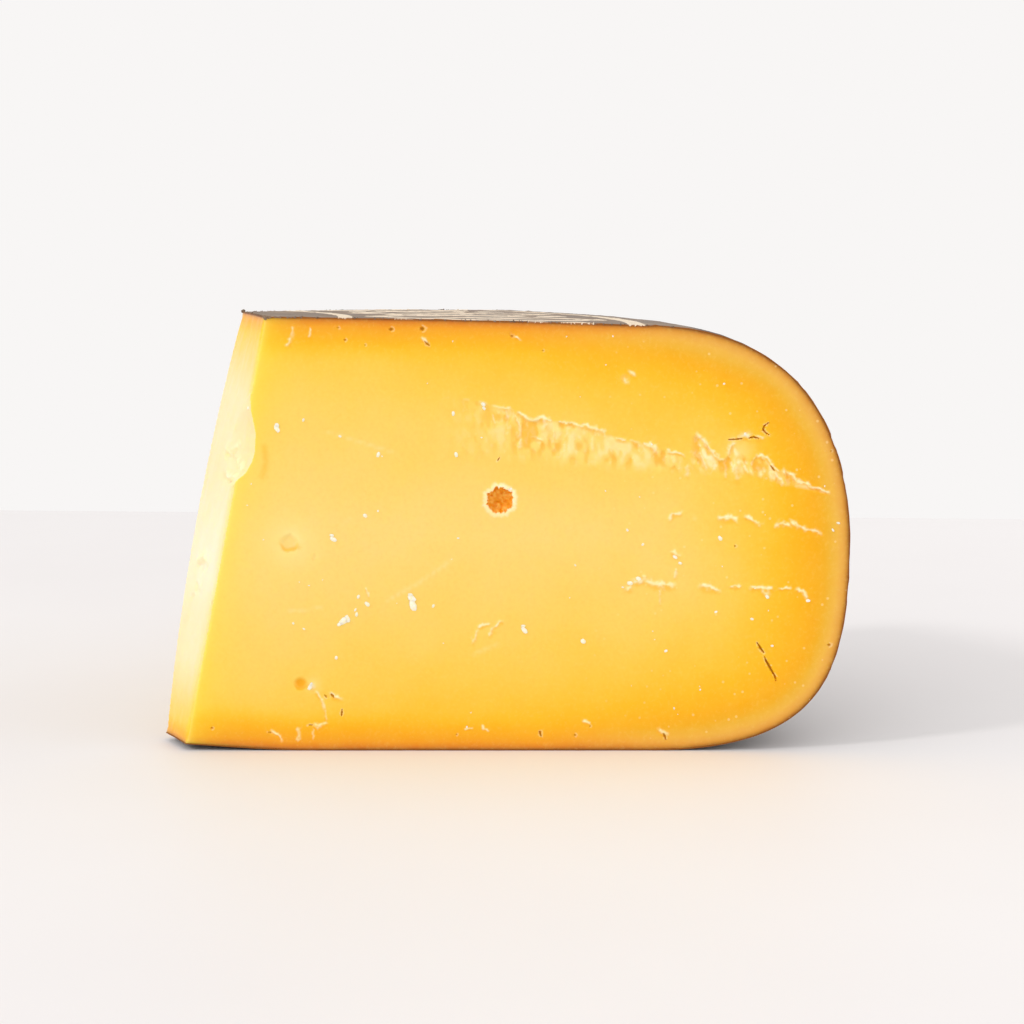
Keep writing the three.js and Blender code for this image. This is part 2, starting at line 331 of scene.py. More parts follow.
backCut = {
    "turn": angle,
    "inwards": np.array([math.sin(angle), -math.cos(angle), 0]),
    "noseAlong": lambda z: noseBack(z) / math.cos(angle),
    "seed": 47,
    "grid": 1.3,
    "bands": [
        {"upper": [(62, 66), (74, 68.5), (88, 66), (101, 62.5), (113, 62), (128, 58), (141, 55)],
         "lower": [(62, 60), (76, 57), (92, 55.5), (112, 53), (128, 51.5), (141, 51.5)],
         "depth": 0.9, "dimple": 0.6, "skew": -0.1, "fadeIn": 12, "quietUntil": 74, "tornAndHighlight": 0.36,
         "amberShade": 0.6},
        {"upper": [(146, 40), (153, 41.5), (160, 38.5), (169, 37.5), (177, 34)],
         "lower": [(146, 35), (156, 33), (168, 32.6), (177, 32.4)],
         "depth": 1, "dimple": 0.7, "skew": 0.3, "fadeIn": 4, "quietUntil": 146, "tornAndHighlight": 0.5,
         "amberShade": 0.8},
    ],
    "lips": [
        ([(52, 88), (55.5, 87.2), (58, 88)], 0.35), ([(70, 92), (74.5, 90.6)], 0.3),
        ([(96, 84), (101, 84.6), (104.5, 83.4)], 0.4), ([(121, 80.5), (125, 79), (127, 79.4)], 0.36),
        ([(143, 74), (148, 72.6), (151, 73.2)], 0.4), ([(160, 62), (165, 61.3), (168, 60)], 0.34),
        ([(88, 31), (92.5, 30.2), (94, 28.8)], 0.38), ([(113, 26), (117, 26.4)], 0.32),
        ([(41, 40), (44, 38.2)], 0.35), ([(58, 22), (60, 19), (60.5, 16)], 0.26),
        ([(134, 14), (138, 13.2)], 0.35),
    ],
    "cracks": [
        ([(154, 88), (157.5, 86.2), (160, 86.6)], 0.3, 1.3),
        ([(104, 40), (106.2, 37.2), (107, 34)], 0.34, 1.6), ([(64, 101), (66, 99.6)], 0.24, 1),
        ([(171, 48), (173, 45.2), (173.4, 42)], 0.3, 1.3),
    ],
    "eyes": [
        {"at": (74, 41), "radius": 3, "depth": 3.2, "ragged": 0.35, "halo": 1.1, "holeShadeAndRim": 0.9},
        {"at": (132, 72), "radius": 2.3, "depth": 2.6, "ragged": 0.3, "halo": 0.8, "holeShadeAndRim": 0.8},
    ],
    "dents": [(40, 70, 1.9, 0.6, 0.2, 0.8), (101, 92, 1.5, 0.4, 0.5, 0.5), (148, 63, 1.3, 0.4, 0.3, 0.7)],
    "pits": [
        (60, 108.6, 0.6), (92, 108.2, 0.5), (126, 105.6, 0.5), (150, 98, 0.4), (172, 86, 0.4),
        (181, 30, 0.5), (150, 7, 0.5), (98, 4.4, 0.5), (66, 5, 0.4), (34, 9, 0.4), (118, 92, 0.35),
        (84, 78, 0.35),
    ],
    "scratches": [
        ([(50, 78), (70, 71), (90, 66.5)], 0.4), ([(110, 20), (126, 28), (140, 33)], 0.4),
        ([(60, 50), (70, 46)], 0.35),
    ],
    "haloes": [(74, 41, 7, 0.15), (40, 70, 9, 0.4)],
    "crystals": [
        (47, 60, 1), (66, 80, 0.9), (83, 50, 1.1), (98, 72, 0.8), (111, 46, 1.2), (112, 47.4, 0.8),
        (137, 62, 0.9), (121, 34, 0.8), (92, 18, 1), (52, 30, 0.9), (146, 84, 0.7), (158, 52, 0.8),
        (70, 27, 0.6), (129, 20, 0.8),
    ],
}
facet = {   # the narrow cut across the nose: across is measured from the front edge
    "inwards": np.array([0.905, 0.425, 0]),
    "seed": 83,
    "grid": 0.62,
    "chip": {   # a shell-shaped chip out of the front edge: each height and how far the edge is broken back
        "edge": [
            (69.2, 0), (70.6, 0.8), (72.5, 2.7), (75, 3.6), (77.4, 3.9), (82.3, 3.3), (84.8, 2.4),
            (88.3, 1), (92.5, 0),
        ],
        "across": 9.5,   # how far it reaches over the facet
        "hollow": 0.7,
    },
    "creases": [   # a path as across and height, half its width and its depth; each takes painted shade along its core
        ([(0.5, 71.4), (3.5, 73), (7, 75.4), (13, 76.8)], 0.7, 0.9),
        ([(0.8, 70.8), (5, 69.4), (10, 70.8)], 0.6, 0.8), ([(4, 78.6), (7, 76.5)], 0.6, 0.5),
        ([(7, 46.6), (11, 48), (15, 46.4)], 0.8, 0.8), ([(9, 40), (13, 41)], 0.7, 0.5),
    ],
    "streak": [(41.2, 79), (41.6, 75), (40.6, 71.5)],   # painted shade beside the chip on the front cut
    "dents": [
        (11, 46, 1.1, 0.8), (12, 41.6, 0.9, 0.7), (13.5, 38.4, 0.8, 0.6), (9.5, 70, 1.4, 0.4),
        (14, 92, 1, 0.4),
    ],
    "roundFront": 1.1,   # how far the worn front edge is rounded
    "roundBack": 0.6,
}


frontCut["chips"] = [[(noseFront(z) + amount, z) for z, amount in facet["chip"]["edge"]]]
backCut["chips"] = []


def upperAndLower(band, x):
    upper = np.interp(x, *zip(*band["upper"]))
    lower = np.interp(x, *zip(*band["lower"]))
    return upper, lower


def near(x, z, path, reach):
    alongs, heights = zip(*path)
    return ((x > min(alongs) - reach) & (x < max(alongs) + reach)
            & (z > min(heights) - reach) & (z < max(heights) + reach))


def relief(cut, x, z):
    # how far the surface lies behind the plane of the cut, and the masks that colour it
    seed = cut["seed"]
    inwards = 0.3 * (layeredNoise(x / 34, z / 34, seed, 2) - 0.5)
    inwards += 0.05 * (layeredNoise(x / 3.2, z / 3.2, seed + 3, 2) - 0.5)
    tornAndHighlight, hollow, pale, amberShade, crackAndPitShade = (np.zeros(x.shape) for _ in range(5))

    for number, band in enumerate(cut["bands"]):
        upper, lower = upperAndLower(band, x)
        upper = upper + 1.3 * (layeredNoise(x / 2.6, 0 * x, seed + 5 + number, 3) - 0.5)
        ends = smoothStep(band["upper"][0][0], band["upper"][0][0] + band["fadeIn"], x)
        ends = ends * (1 - smoothStep(band["upper"][-1][0] - 2.5, band["upper"][-1][0], x))
        ends = ends * (0.5 + 0.5 * smoothStep(band["quietUntil"] - 8, band["quietUntil"] + 8, x))
        height = np.maximum(upper - lower, 0.5)
        drop = (upper - z) / height
        inside = ends * smoothStep(-0.3, 1.1, upper - z) * (1 - smoothStep(0.55, 1.08, drop))
        drops = layeredNoise((x + band["skew"] * z) / 1.8, z / 3.6, seed + 20 + number, 2)
        lumps = layeredNoise(x / 1.1, z / 1.3, seed + 30 + number, 2)
        # painted shade in the dimples, and painted highlight on the crests between them
        dimple = inside * smoothStep(0.5, 0.3, drops)
        crest = inside * smoothStep(0.52, 0.74, drops)
        inwards += inside * band["depth"] * (0.34 - 0.24 * drop + 0.26 * (lumps - 0.5))
        inwards += band["dimple"] * (0.45 * dimple - 0.35 * crest)
        lip = ends * np.exp(-((upper - z - 0.15) / 0.3) ** 2)
        lip = lip * smoothStep(0.5, 0.66, layeredNoise(x / 1.9, z / 4, seed + 40 + number, 2))
        inwards -= 0.16 * lip
        tornAndHighlight = np.maximum(tornAndHighlight, 0.8 * lip)
        tornAndHighlight = np.maximum(tornAndHighlight, band["tornAndHighlight"] * crest * (0.5 + lumps))
        flecks = layeredNoise(x / 0.8, z / 1.5, seed + 50 + number, 2)
        tornAndHighlight = np.maximum(tornAndHighlight, band["tornAndHighlight"] * inside * smoothStep(0.62, 0.8, flecks))
        amberShade = np.maximum(amberShade, band["amberShade"] * dimple)
        pale = np.maximum(pale, 0.3 * inside)

    shakeX = 0.9 * (layeredNoise(x / 1.1, z / 1.1, seed + 61, 2) - 0.5)
    shakeZ = 0.9 * (layeredNoise(x / 1.1, z / 1.1, seed + 63, 2) - 0.5)
    crumble = layeredNoise(x / 0.75, z / 0.75, seed + 65, 2)
    for path, width in cut["lips"]:
        some = near(x, z, path, 3)
        lipX, lipZ = x[some] + shakeX[some], z[some] + shakeZ[some]
        gap, along = pathDistance(lipX, lipZ, path)
        fade = 1 - smoothStep(0.8, 1.2, np.abs(along - 0.5) * 2)
        core = np.exp(-(gap / (width * (0.35 + 1.2 * crumble[some]))) ** 2) * fade
        inwards[some] -= 0.15 * core
        # painted shade under each flake, over a slight hollow
        under, _ = pathDistance(lipX, lipZ + 1.5 * width + 0.2, path)
        shade = np.exp(-(under / (width * 1.2)) ** 2) * fade
        inwards[some] += 0.08 * shade
        tornAndHighlight[some] = np.maximum(tornAndHighlight[some], core * (0.45 + 0.75 * crumble[some]))
        amberShade[some] = np.maximum(amberShade[some], 0.4 * shade)

    for path, width, depth in cut["cracks"]:
        some = near(x, z, path, 3)
        gap, along = pathDistance(x[some], z[some], path)
        wobble = 0.6 + 0.8 * layeredNoise(x[some] / 0.6, z[some] / 0.6, seed + 70, 2)
        halfWidth = width * wobble * (1.2 - 0.9 * np.abs(along - 0.5) * 2)
        core = 1 - smoothStep(0.5, 1.15, gap / halfWidth)
        inwards[some] += 0.55 * depth * core
        # painted shade in the fissure, over its real depth
        crackAndPitShade[some] = np.maximum(crackAndPitShade[some], 1.1 * core)
        rim = np.exp(-((gap - halfWidth * 1.5) / 0.22) ** 2)
        rim = rim * (layeredNoise(x[some] / 0.8, z[some] / 0.8, seed + 71) > 0.5)
        tornAndHighlight[some] = np.maximum(tornAndHighlight[some], 0.4 * rim)

    for number, eye in enumerate(cut["eyes"]):
        alongX, alongZ = x - eye["at"][0], z - eye["at"][1]
        gap, turn = np.hypot(alongX, alongZ), np.arctan2(alongZ, alongX)
        edge = eye["radius"] + eye["ragged"] * 2 * (layeredNoise(
            6.4 + 4 * np.cos(turn), 3.3 + 4 * np.sin(turn), seed + 80 + number, 3) - 0.5)
        bowl = np.sqrt(np.clip(1 - (gap / edge) ** 2, 0, 1))
        lumps = layeredNoise(x / 0.8, z / 0.8, seed + 90 + number, 3)
        inwards += eye["depth"] * bowl ** 0.7 * (0.55 + 0.9 * lumps)
        inside = 1 - smoothStep(0.97, 1.03, gap / edge)
        # painted shade inside the hole
        hollow = np.maximum(hollow, eye["holeShadeAndRim"] * inside * (0.4 + 1.1 * lumps))
        ring = smoothStep(-0.2, 0.05, gap - edge) * (1 - smoothStep(0.35, 1, (gap - edge) / eye["halo"]))
        # paler towards the upper right: painted highlight on the side that faces the light
        ring = ring * (0.6 + 0.4 * layeredNoise(x / 1.1, z / 1.1, seed + 95, 2) + 0.2 * np.cos(turn - 0.8))
        inwards -= 0.12 * ring
        tornAndHighlight = np.maximum(tornAndHighlight, ring * (0.25 + 0.75 * eye["holeShadeAndRim"]))

    for along, height, radius, depth, paleness, cupShade in cut["dents"]:
        gap = np.hypot(x - along, z - height) / radius
        gap = gap * (0.8 + 0.4 * layeredNoise(x / 1.4, z / 1.4, seed + 120, 2))
        cup = 1 - smoothStep(0.35, 1.05, gap)
        inwards += depth * cup
        pale = np.maximum(pale, paleness * (1 - smoothStep(0.5, 1.3, gap)))
        # painted shade in the cup and in a crescent low in it
        crescent = smoothStep(0.35, 0.75, gap) * (1 - smoothStep(0.85, 1.1, gap))
        crescent = crescent * smoothStep(0.3, -0.7, (z - height) / radius)
        amberShade = np.maximum(amberShade, cupShade * np.maximum(crescent, (1 - paleness) * cup))

    for along, height, radius in cut["pits"]:
        gap = np.hypot(x - along, (z - height) * 1.25)
        gap = gap * (0.8 + 0.5 * layeredNoise(x / 0.5, z / 0.5, seed + 99, 2))
        core = 1 - smoothStep(0.45, 1.05, gap / radius)
        inwards += 0.9 * radius * core
        # painted shade in each pinhole
        crackAndPitShade = np.maximum(crackAndPitShade, core)
        # a pale crescent on its right wall only: painted highlight where the light from the left falls
        tornAndHighlight = np.maximum(tornAndHighlight, 0.35 * np.exp(-((gap - radius * 1.35) / 0.2) ** 2) * (x > along))

    for path, width in cut["scratches"]:
        some = near(x, z, path, 3)
        gap, along = pathDistance(x[some], z[some], path)
        wobble = 0.4 + layeredNoise(x[some] / 1.4, z[some] / 1.4, seed + 110, 2)
        core = np.exp(-(gap / (width * wobble)) ** 2) * (1 - smoothStep(0.7, 1, np.abs(along - 0.5) * 2))
        tornAndHighlight[some] = np.maximum(tornAndHighlight[some], 0.22 * core)
        inwards[some] -= 0.04 * core

    for along, height, radius, strength in cut["haloes"]:
        gap = np.hypot(x - along, z - height) / radius
        pale = np.maximum(pale, strength * np.exp(-gap ** 2 * 2))
    return inwards, {"tornAndHighlight": tornAndHighlight, "hollow": hollow, "pale": pale, "amberShade": amberShade, "crackAndPitShade": crackAndPitShade}


gridShares = (1, 0.42, 0.26)   # spacing on a cut's smooth, rough and finest places, as shares of its grid


def neededGrid(cut, x, z):
    # the mesh spacing that each place needs: fine at torn edges and holes, coarse on the smooth cut
    fine = np.full(x.shape, 9.0)
    rough = np.full(x.shape, 9.0)
    for path, width, *_ in cut["lips"] + cut["cracks"]:
        some = near(x, z, path, 3)
        fine[some] = np.minimum(fine[some], pathDistance(x[some], z[some], path)[0] - width)
    for along, height, radius in cut["pits"]:
        fine = np.minimum(fine, np.hypot(x - along, z - height) - radius)
    for eye in cut["eyes"]:
        gap = np.hypot(x - eye["at"][0], z - eye["at"][1])
        fine = np.minimum(fine, np.abs(gap - eye["radius"]) - 0.3)
        rough = np.minimum(rough, gap - eye["radius"] - 1.5)
    for along, height, radius, *_ in cut["dents"]:
        rough = np.minimum(rough, np.hypot(x - along, z - height) - radius - 0.4)
    for path in cut["chips"]:
        fine = np.minimum(fine, pathDistance(x, z, path)[0])
        rough = np.minimum(rough, pathDistance(x, z, path)[0] - 3)
    for band in cut["bands"]:
        upper, lower = upperAndLower(band, x)
        ends = np.maximum(band["upper"][0][0] - x, x - band["upper"][-1][0])
        rough = np.minimum(rough, np.maximum(np.maximum(z - upper, lower - z), ends) - 0.8)
        fine = np.where(ends < 0, np.minimum(fine, np.abs(z - upper)), fine)
    spacing = np.full(x.shape, cut["grid"])
    spacing[(fine < 2.2) | (rough < 0)] = cut["grid"] * gridShares[1]
    spacing[fine < 0.7] = cut["grid"] * gridShares[2]
    return spacing


def hexGrid(lowX, highX, lowZ, highZ, spacing, jitter, seed):
    rows = np.arange(lowZ, highZ, spacing * 0.866)
    columns = np.arange(lowX, highX, spacing)
    x, z = np.meshgrid(columns, rows)
    x = x + (np.arange(len(rows)) % 2)[:, None] * spacing / 2
    shake = np.random.default_rng(seed).uniform(-1, 1, (2,) + x.shape) * jitter * spacing
    return (x + shake[0]).ravel(), (z + shake[1]).ravel()


# The paste is one closed mesh, in four patches that share their edges: two cuts, the nose and the rind.
paste = {
    "inset": wheel["coatInset"] - 0.03,   # tucked just under the coat
    "edgeStep": 0.5,         # between points along the edges
    "noseColumns": 61,       # points across the top and bottom edge of the nose
    "jitter": 0.12,          # of the points inside each patch, as a share of their spacing
    "rindGrid": 3.5,         # hidden under the coat, and so left coarse
    "litSidePaling": 0.15,      # paler towards the nose: painted light from the key on the left, over the nose's own paler tone
}


def spread(low, high, step):
    return np.linspace(low, high, max(int(round((high - low) / step)), 2) + 1)


def facetWidth(z):
    return np.hypot(noseBack(z) - noseFront(z), noseBack(z) * math.tan(angle))


def acrossFacet(points):
    # distance of each point from the nose's front edge
    return np.hypot(points[:, 0] - noseFront(points[:, 2]), points[:, 1])


def cutDirection(cut):
    return np.array([math.cos(cut["turn"]), math.sin(cut["turn"]), 0])


def pasteShell():
    # the flat patches, before any relief: points, triangles, and which points each patch has
    inset = paste["inset"]
    points, triangles = [], []

    def addPoints(places):
        points.extend(places)
        return list(range(len(points) - len(places), len(points)))

    def fillPatch(outline, outlineFlat, innerFlat, innerPoints):
        # triangles between an outline of known points and new points inside it, drawn flat
        inner = addPoints(innerPoints)
        flat = [Vector(p) for p in outlineFlat] + [Vector(p) for p in innerFlat]
        rim = [(i, (i + 1) % len(outline)) for i in range(len(outline))]
        drawn = delaunay_2d_cdt(flat, rim, [], 1, 1e-7)
        numbers = list(outline) + inner
        source = [numbers[first[0]] for first in drawn[3]]
        triangles.extend([source[corner] for corner in face] for face in drawn[2])
        return inner

    # the six edges
    turns = np.linspace(0, angle, paste["noseColumns"])
    crossings = np.array([noseCrossings(inset, turn) for turn in turns])
    baseNose = np.array([onWheel(s, turn, inset) for (s, _), turn in zip(crossings, turns)])
    topNose = np.array([onWheel(s, turn, inset) for (_, s), turn in zip(crossings, turns)])
    alongFront = spread(*crossings[0], paste["edgeStep"])
    alongBack = spread(*crossings[-1], paste["edgeStep"])
    frontRim = addPoints(onWheel(alongFront, 0 * alongFront, inset))
    backRim = addPoints(onWheel(alongBack, 0 * alongBack + angle, inset))

    def noseEdge(low, high, x, turn):
        z = spread(low[2], high[2], paste["edgeStep"])[1:-1]
        return addPoints(np.stack([x(z), x(z) * math.tan(turn), z], 1))

    frontNose = noseEdge(baseNose[0], topNose[0], noseFront, 0)
    backNose = noseEdge(baseNose[-1], topNose[-1], noseBack, angle)
    baseInner, topInner = addPoints(baseNose[1:-1]), addPoints(topNose[1:-1])
    ids = {"frontEdge": frontNose, "backEdge": backNose, "ends": topInner + baseInner}

    # the two cut faces, from coarse to fine
    for name, cut, rimIds, noseIds in (("front", frontCut, frontRim, frontNose),
                                       ("back", backCut, backRim, backNose)):
        direction = cutDirection(cut)
        outline = rimIds + noseIds[::-1]
        edge = np.array([points[i] for i in outline])
        kept = []
        for level, share in enumerate(gridShares):
            spacing = cut["grid"] * share
            x, z = hexGrid(12, wheelRadius, 0.5, wheel["top"], spacing, paste["jitter"],
                           cut["seed"] + level)
            fits = x > cut["noseAlong"](z) + 0.25
            x, z = x[fits], z[fits]
            depth = depthBelowRind(x, z) - inset
            toNose = x - cut["noseAlong"](z)
            wanted = neededGrid(cut, x, z)
            nearEdge = np.minimum(depth, toNose) < 2.4
            wanted = np.where(nearEdge, np.minimum(wanted, cut["grid"] * gridShares[1]), wanted)
            fits = (depth > 0.45 * spacing + 0.08) & (toNose > 0.5 * spacing)
            fits &= np.abs(wanted - spacing) < 1e-6
            kept.append(np.stack([x[fits], z[fits]], 1))
        flat = np.concatenate(kept)
        inner = np.stack([flat[:, 0] * direction[0], flat[:, 0] * direction[1], flat[:, 1]], 1)
        ids[name] = fillPatch(outline, np.stack([edge @ direction, edge[:, 2]], 1), flat, inner)
        ids[name] += noseIds + rimIds
        print("cut face", name, len(inner), "points")

    # the nose facet
    outline = frontNose + [frontRim[-1]] + topInner + [backRim[-1]] + backNose[::-1]
    outline += [backRim[0]] + baseInner[::-1] + [frontRim[0]]
    edge = np.array([points[i] for i in outline])
    across, z = hexGrid(0, 32, 0, wheel["top"], facet["grid"], paste["jitter"], facet["seed"])
    width = facetWidth(z)
    front = np.stack([noseFront(z), 0 * z, z], -1)
    back = np.stack([noseBack(z), noseBack(z) * math.tan(angle), z], -1)
    inner = front + (back - front) * (across / width)[..., None]
    radius = np.hypot(inner[:, 0], inner[:, 1])
    fits = (across > 0.35) & (across < width - 0.35) & (depthBelowRind(radius, z) > inset + 0.4)
    ids["nose"] = fillPatch(outline, np.stack([acrossFacet(edge), edge[:, 2]], 1),
                            np.stack([across, z], 1)[fits], inner[fits])

    # the rind, drawn flat as length along the section and length round the wheel
    outline = frontRim + topInner + backRim[::-1] + baseInner[::-1]
    lengths = np.concatenate([alongFront, crossings[1:-1, 1], alongBack[::-1], crossings[1:-1, 0][::-1]])
    edge = np.array([points[i] for i in outline])
    edgeArc = np.arctan2(edge[:, 1], edge[:, 0]) * np.hypot(edge[:, 0], edge[:, 1])
    s, arc = hexGrid(0, section["s"][-1], 0, wheelRadius * angle, paste["rindGrid"], 0, 1)
    radius = np.interp(s, section["s"], insetSection(inset)[0])
    turn = arc / np.maximum(radius, 1)
    low = np.interp(turn, turns, crossings[:, 0])
    high = np.interp(turn, turns, crossings[:, 1])
    fits = (s > low + 2) & (s < high - 2) & (arc > 2) & (turn < angle - 2 / np.maximum(radius, 1))
    fillPatch(outline, np.stack([lengths, edgeArc], 1), np.stack([s, arc], 1)[fits],
              onWheel(s[fits], turn[fits], inset))
    return np.array(points), triangles, ids


def roundedCorner(edge, roundness, depth):
    # how far a worn edge is rounded back, fading out at the rind
    return 0.3 * roundness * np.clip(1 - edge / roundness, 0, 1) ** 2 * smoothStep(0, 1.5, depth)


def cutRelief(points, ids, masks, shift):
    # relief and masks of the two cuts, fading out at the rind and at the nose
    for name, cut, edgeName in (("front", frontCut, "roundFront"), ("back", backCut, "roundBack")):
        chosen = np.array(ids[name])
        depth = masks["depth"][chosen]
        along, z = points[chosen] @ cutDirection(cut), points[chosen][:, 2]
        inwards, colours = relief(cut, along, z)
        toNose = along - cut["noseAlong"](z)
        fade = smoothStep(0, 0.9, depth) * smoothStep(0, 1.6, toNose)
        inwards = inwards * fade + roundedCorner(toNose, facet[edgeName], depth)
        shift[chosen] += cut["inwards"] * inwards[:, None]
        for mask, values in colours.items():
            masks[mask][chosen] = values
        masks["lemon"][chosen] = np.exp(-np.maximum(toNose, 0) / 5)
        masks["dryAndLit"][chosen] = 0.25 * np.exp(-np.maximum(toNose, 0) / 0.6)
        if name == "front":   # a streak of painted shade beside the chip
            gap, _ = pathDistance(along, z, facet["streak"])
            masks["amberShade"][chosen] = np.maximum(masks["amberShade"][chosen], 0.4 * np.exp(-(gap / 0.8) ** 2))


def noseRelief(points, ids, masks, shift):
    # a gently torn, dry surface, paler where the key light strikes it squarely, which is painted light,
    # with painted shade in its creases and cups
    chosen = np.array(ids["nose"] + ids["frontEdge"] + ids["backEdge"] + ids["ends"])
    across, z = acrossFacet(points[chosen]), points[chosen][:, 2]
    seed, width, depth = facet["seed"], facetWidth(z), masks["depth"][chosen]
    tornAndHighlight, lemon = masks["tornAndHighlight"][chosen], masks["lemon"][chosen]
    waves = 1.1 * (layeredNoise(across / 9, z / 22, seed, 3) - 0.5)
    waves += 0.22 * (layeredNoise(across / 1.6, z / 2.4, seed + 5, 3) - 0.5)
    fade = smoothStep(0, 3, across) * smoothStep(0, 3, width - across) * smoothStep(0, 1.5, depth)
    inwards = waves * fade
    for dentAcross, dentHeight, dentRadius, dentDepth in facet["dents"]:
        cup = np.exp(-(np.hypot(across - dentAcross, z - dentHeight) / dentRadius) ** 2)
        inwards += dentDepth * cup
        # painted shade in each cup
        lemon = np.maximum(lemon, 0.5 * cup)
    crumble = layeredNoise(across / 0.9, z / 0.9, seed + 15, 2)
    shaken = across + 0.8 * (crumble - 0.5)
    for path, creaseWidth, creaseDepth in facet["creases"]:
        gap, along = pathDistance(shaken, z, path)
        ends = 1 - smoothStep(0.8, 1.05, np.abs(along - 0.5) * 2)
        core = np.exp(-(gap / creaseWidth) ** 2) * ends
        above, _ = pathDistance(shaken, z - 2.2 * creaseWidth, path)
        flake = np.exp(-(above / (creaseWidth * 1.6)) ** 2) * ends
        inwards += creaseDepth * (core - 0.7 * flake * (0.4 + crumble))
        # a pale flake above each crease, partly painted highlight, and painted shade along its core
        tornAndHighlight = np.maximum(tornAndHighlight, flake * smoothStep(0.35, 0.6, crumble))
        lemon = np.maximum(lemon, core)
    for edge, edgeName in ((across, "roundFront"), (width - across, "roundBack")):
        inwards += roundedCorner(edge, facet[edgeName], depth)
    shift[chosen] += facet["inwards"] * inwards[:, None]
    masks["tornAndHighlight"][chosen] = tornAndHighlight
    masks["lemon"][chosen] = np.maximum(lemon, 0.4 * np.exp(-across / 1.2))
    masks["depth"][chosen] = depth = 2 * depth
    # pale over the face and palest about 48 mm up: dry paste, and painted light where the key strikes the
    # facet squarely
    dryAndLit = 0.05 + 0.57 * smoothStep(4, 46, depth) + 0.3 * np.exp(-((z - 48) / 14) ** 2)
    dryAndLit *= 0.7 + 0.3 * smoothStep(0, 4, across)
    masks["dryAndLit"][chosen] = dryAndLit * (0.85 + 0.3 * layeredNoise(across / 5, z / 9, seed + 9, 2))


def breakChip(points, ids, masks, shift):
    # both sides of the old edge fall back to one hollowed slope
    chip = facet["chip"]
    z = points[:, 2]
    broken = np.interp(z, *zip(*chip["edge"]))
    share = broken / max(amount for _, amount in chip["edge"])
    reach = chip["across"] * np.sqrt(share) + 1e-6
    frontX = noseFront(z)
    facetRun = np.stack([noseBack(z) - frontX, noseBack(z), 0 * z], 1)
    facetRun /= np.linalg.norm(facetRun, axis=1)[:, None]
    across = acrossFacet(points)
    fromEdge = points[:, 0] - frontX
    onFront, onNose = np.zeros(len(z), bool), np.zeros(len(z), bool)
    onFront[ids["front"]] = True
    onFront[ids["frontEdge"]] = False
    onNose[ids["nose"] + ids["frontEdge"]] = True
    onFront &= (broken > 0.02) & (fromEdge < broken)
    onNose &= (broken > 0.02) & (across < reach)
    corner = broken / (broken + reach)
    where = np.where(onFront, corner * (1 - fromEdge / np.maximum(broken, 0.02)),
                     corner + (1 - corner) * across / reach)
    newEdge = np.stack([frontX + broken, 0 * z, z], 1)
    newEnd = np.stack([frontX, 0 * z, z], 1) + facetRun * reach[:, None]
    wobble = 0.5 + layeredNoise(where * 4, z / 4, facet["seed"] + 20, 2)
    bowl = chip["hollow"] * share * np.sin(math.pi * np.clip(where, 0, 1)) * wobble
    chipped = newEdge + (newEnd - newEdge) * where[:, None] + facet["inwards"] * bowl[:, None]
    roughened = 0.8 * (np.arange(len(z)) >= min(ids["nose"]))[:, None] * shift
    inChip = onFront | onNose
    masks["dryAndLit"][inChip] = 0.5 + 0.2 * where[inChip]
    masks["lemon"][inChip] *= 0.3
    return np.where(inChip[:, None], chipped + roughened, points + shift)


def makePaste():
    points, triangles, ids = pasteShell()
    radius = np.hypot(points[:, 0], points[:, 1])
    masks = {name: np.zeros(len(points)) for name in ("lemon",) + marksAndShade}
    masks["depth"] = np.maximum(depthBelowRind(radius, points[:, 2]) - paste["inset"], 0)
    # the heart's colours reach further towards the nose, so it is paler there: painted light from the key
    # on the left
    masks["heart"] = masks["depth"] + paste["litSidePaling"] * (wheelRadius - radius)
    masks["rim"] = smoothStep(105, 160, radius)
    shift = np.zeros((len(points), 3))
    cutRelief(points, ids, masks, shift)
    noseRelief(points, ids, masks, shift)
    points = breakChip(points, ids, masks, shift)
    print("paste", len(points), "points", len(triangles), "triangles")
    return points, triangles, masks


def meshPiece(name, points, faces, masks):
    # a closed mesh with its masks as attributes, smooth but for its sharp edges
    mesh = bpy.data.meshes.new(name)
    mesh.from_pydata(((points + wheelAxis) * mm).tolist(), [], [list(face) for face in faces])
    for mask, values in masks.items():
        layer = mesh.attributes.new(mask, "FLOAT", "POINT")
        layer.data.foreach_set("value", np.asarray(values, np.float32))
    shape = bmesh.new()
    shape.from_mesh(mesh)
    bmesh.ops.recalc_face_normals(shape, faces=shape.faces)
    openEdges = sum(1 for edge in shape.edges if not edge.is_manifold)
    print(name, "volume", round(shape.calc_volume() * 1e6, 1), "cm3, open edges", openEdges)
    shape.to_mesh(mesh)
    shape.free()
    mesh.polygons.foreach_set("use_smooth", [True] * len(mesh.polygons))
    mesh.set_sharp_from_angle(angle=math.radians(48))
    piece = bpy.data.objects.new(name, mesh)
    bpy.context.scene.collection.objects.link(piece)
    return piece


# The coat is a thin skin over top, rim and base. Lengths are in millimetres.
coat = {
    "step": 1.05,            # along the section
    "columns": 100,          # round the wheel
    "edgeRows": (0.25, 0.6, 1.1, 1.8, 2.8),   # finer columns beside the cuts, in mm at the rim
    "thickness": wheel["coatInset"],
    "ragged": 0.16,          # how unevenly the knife left its edges
    "wrinkle": 0.11,
    "rimWrinkle": 0.42,      # the rim is rougher than the printed top
    "notches": [(312, 1.1, 0.5), (276, 1.3, 0.55), (240, 0.9, 0.3), (399, 1.2, 0.4), (196, 1, 0.35)],
}


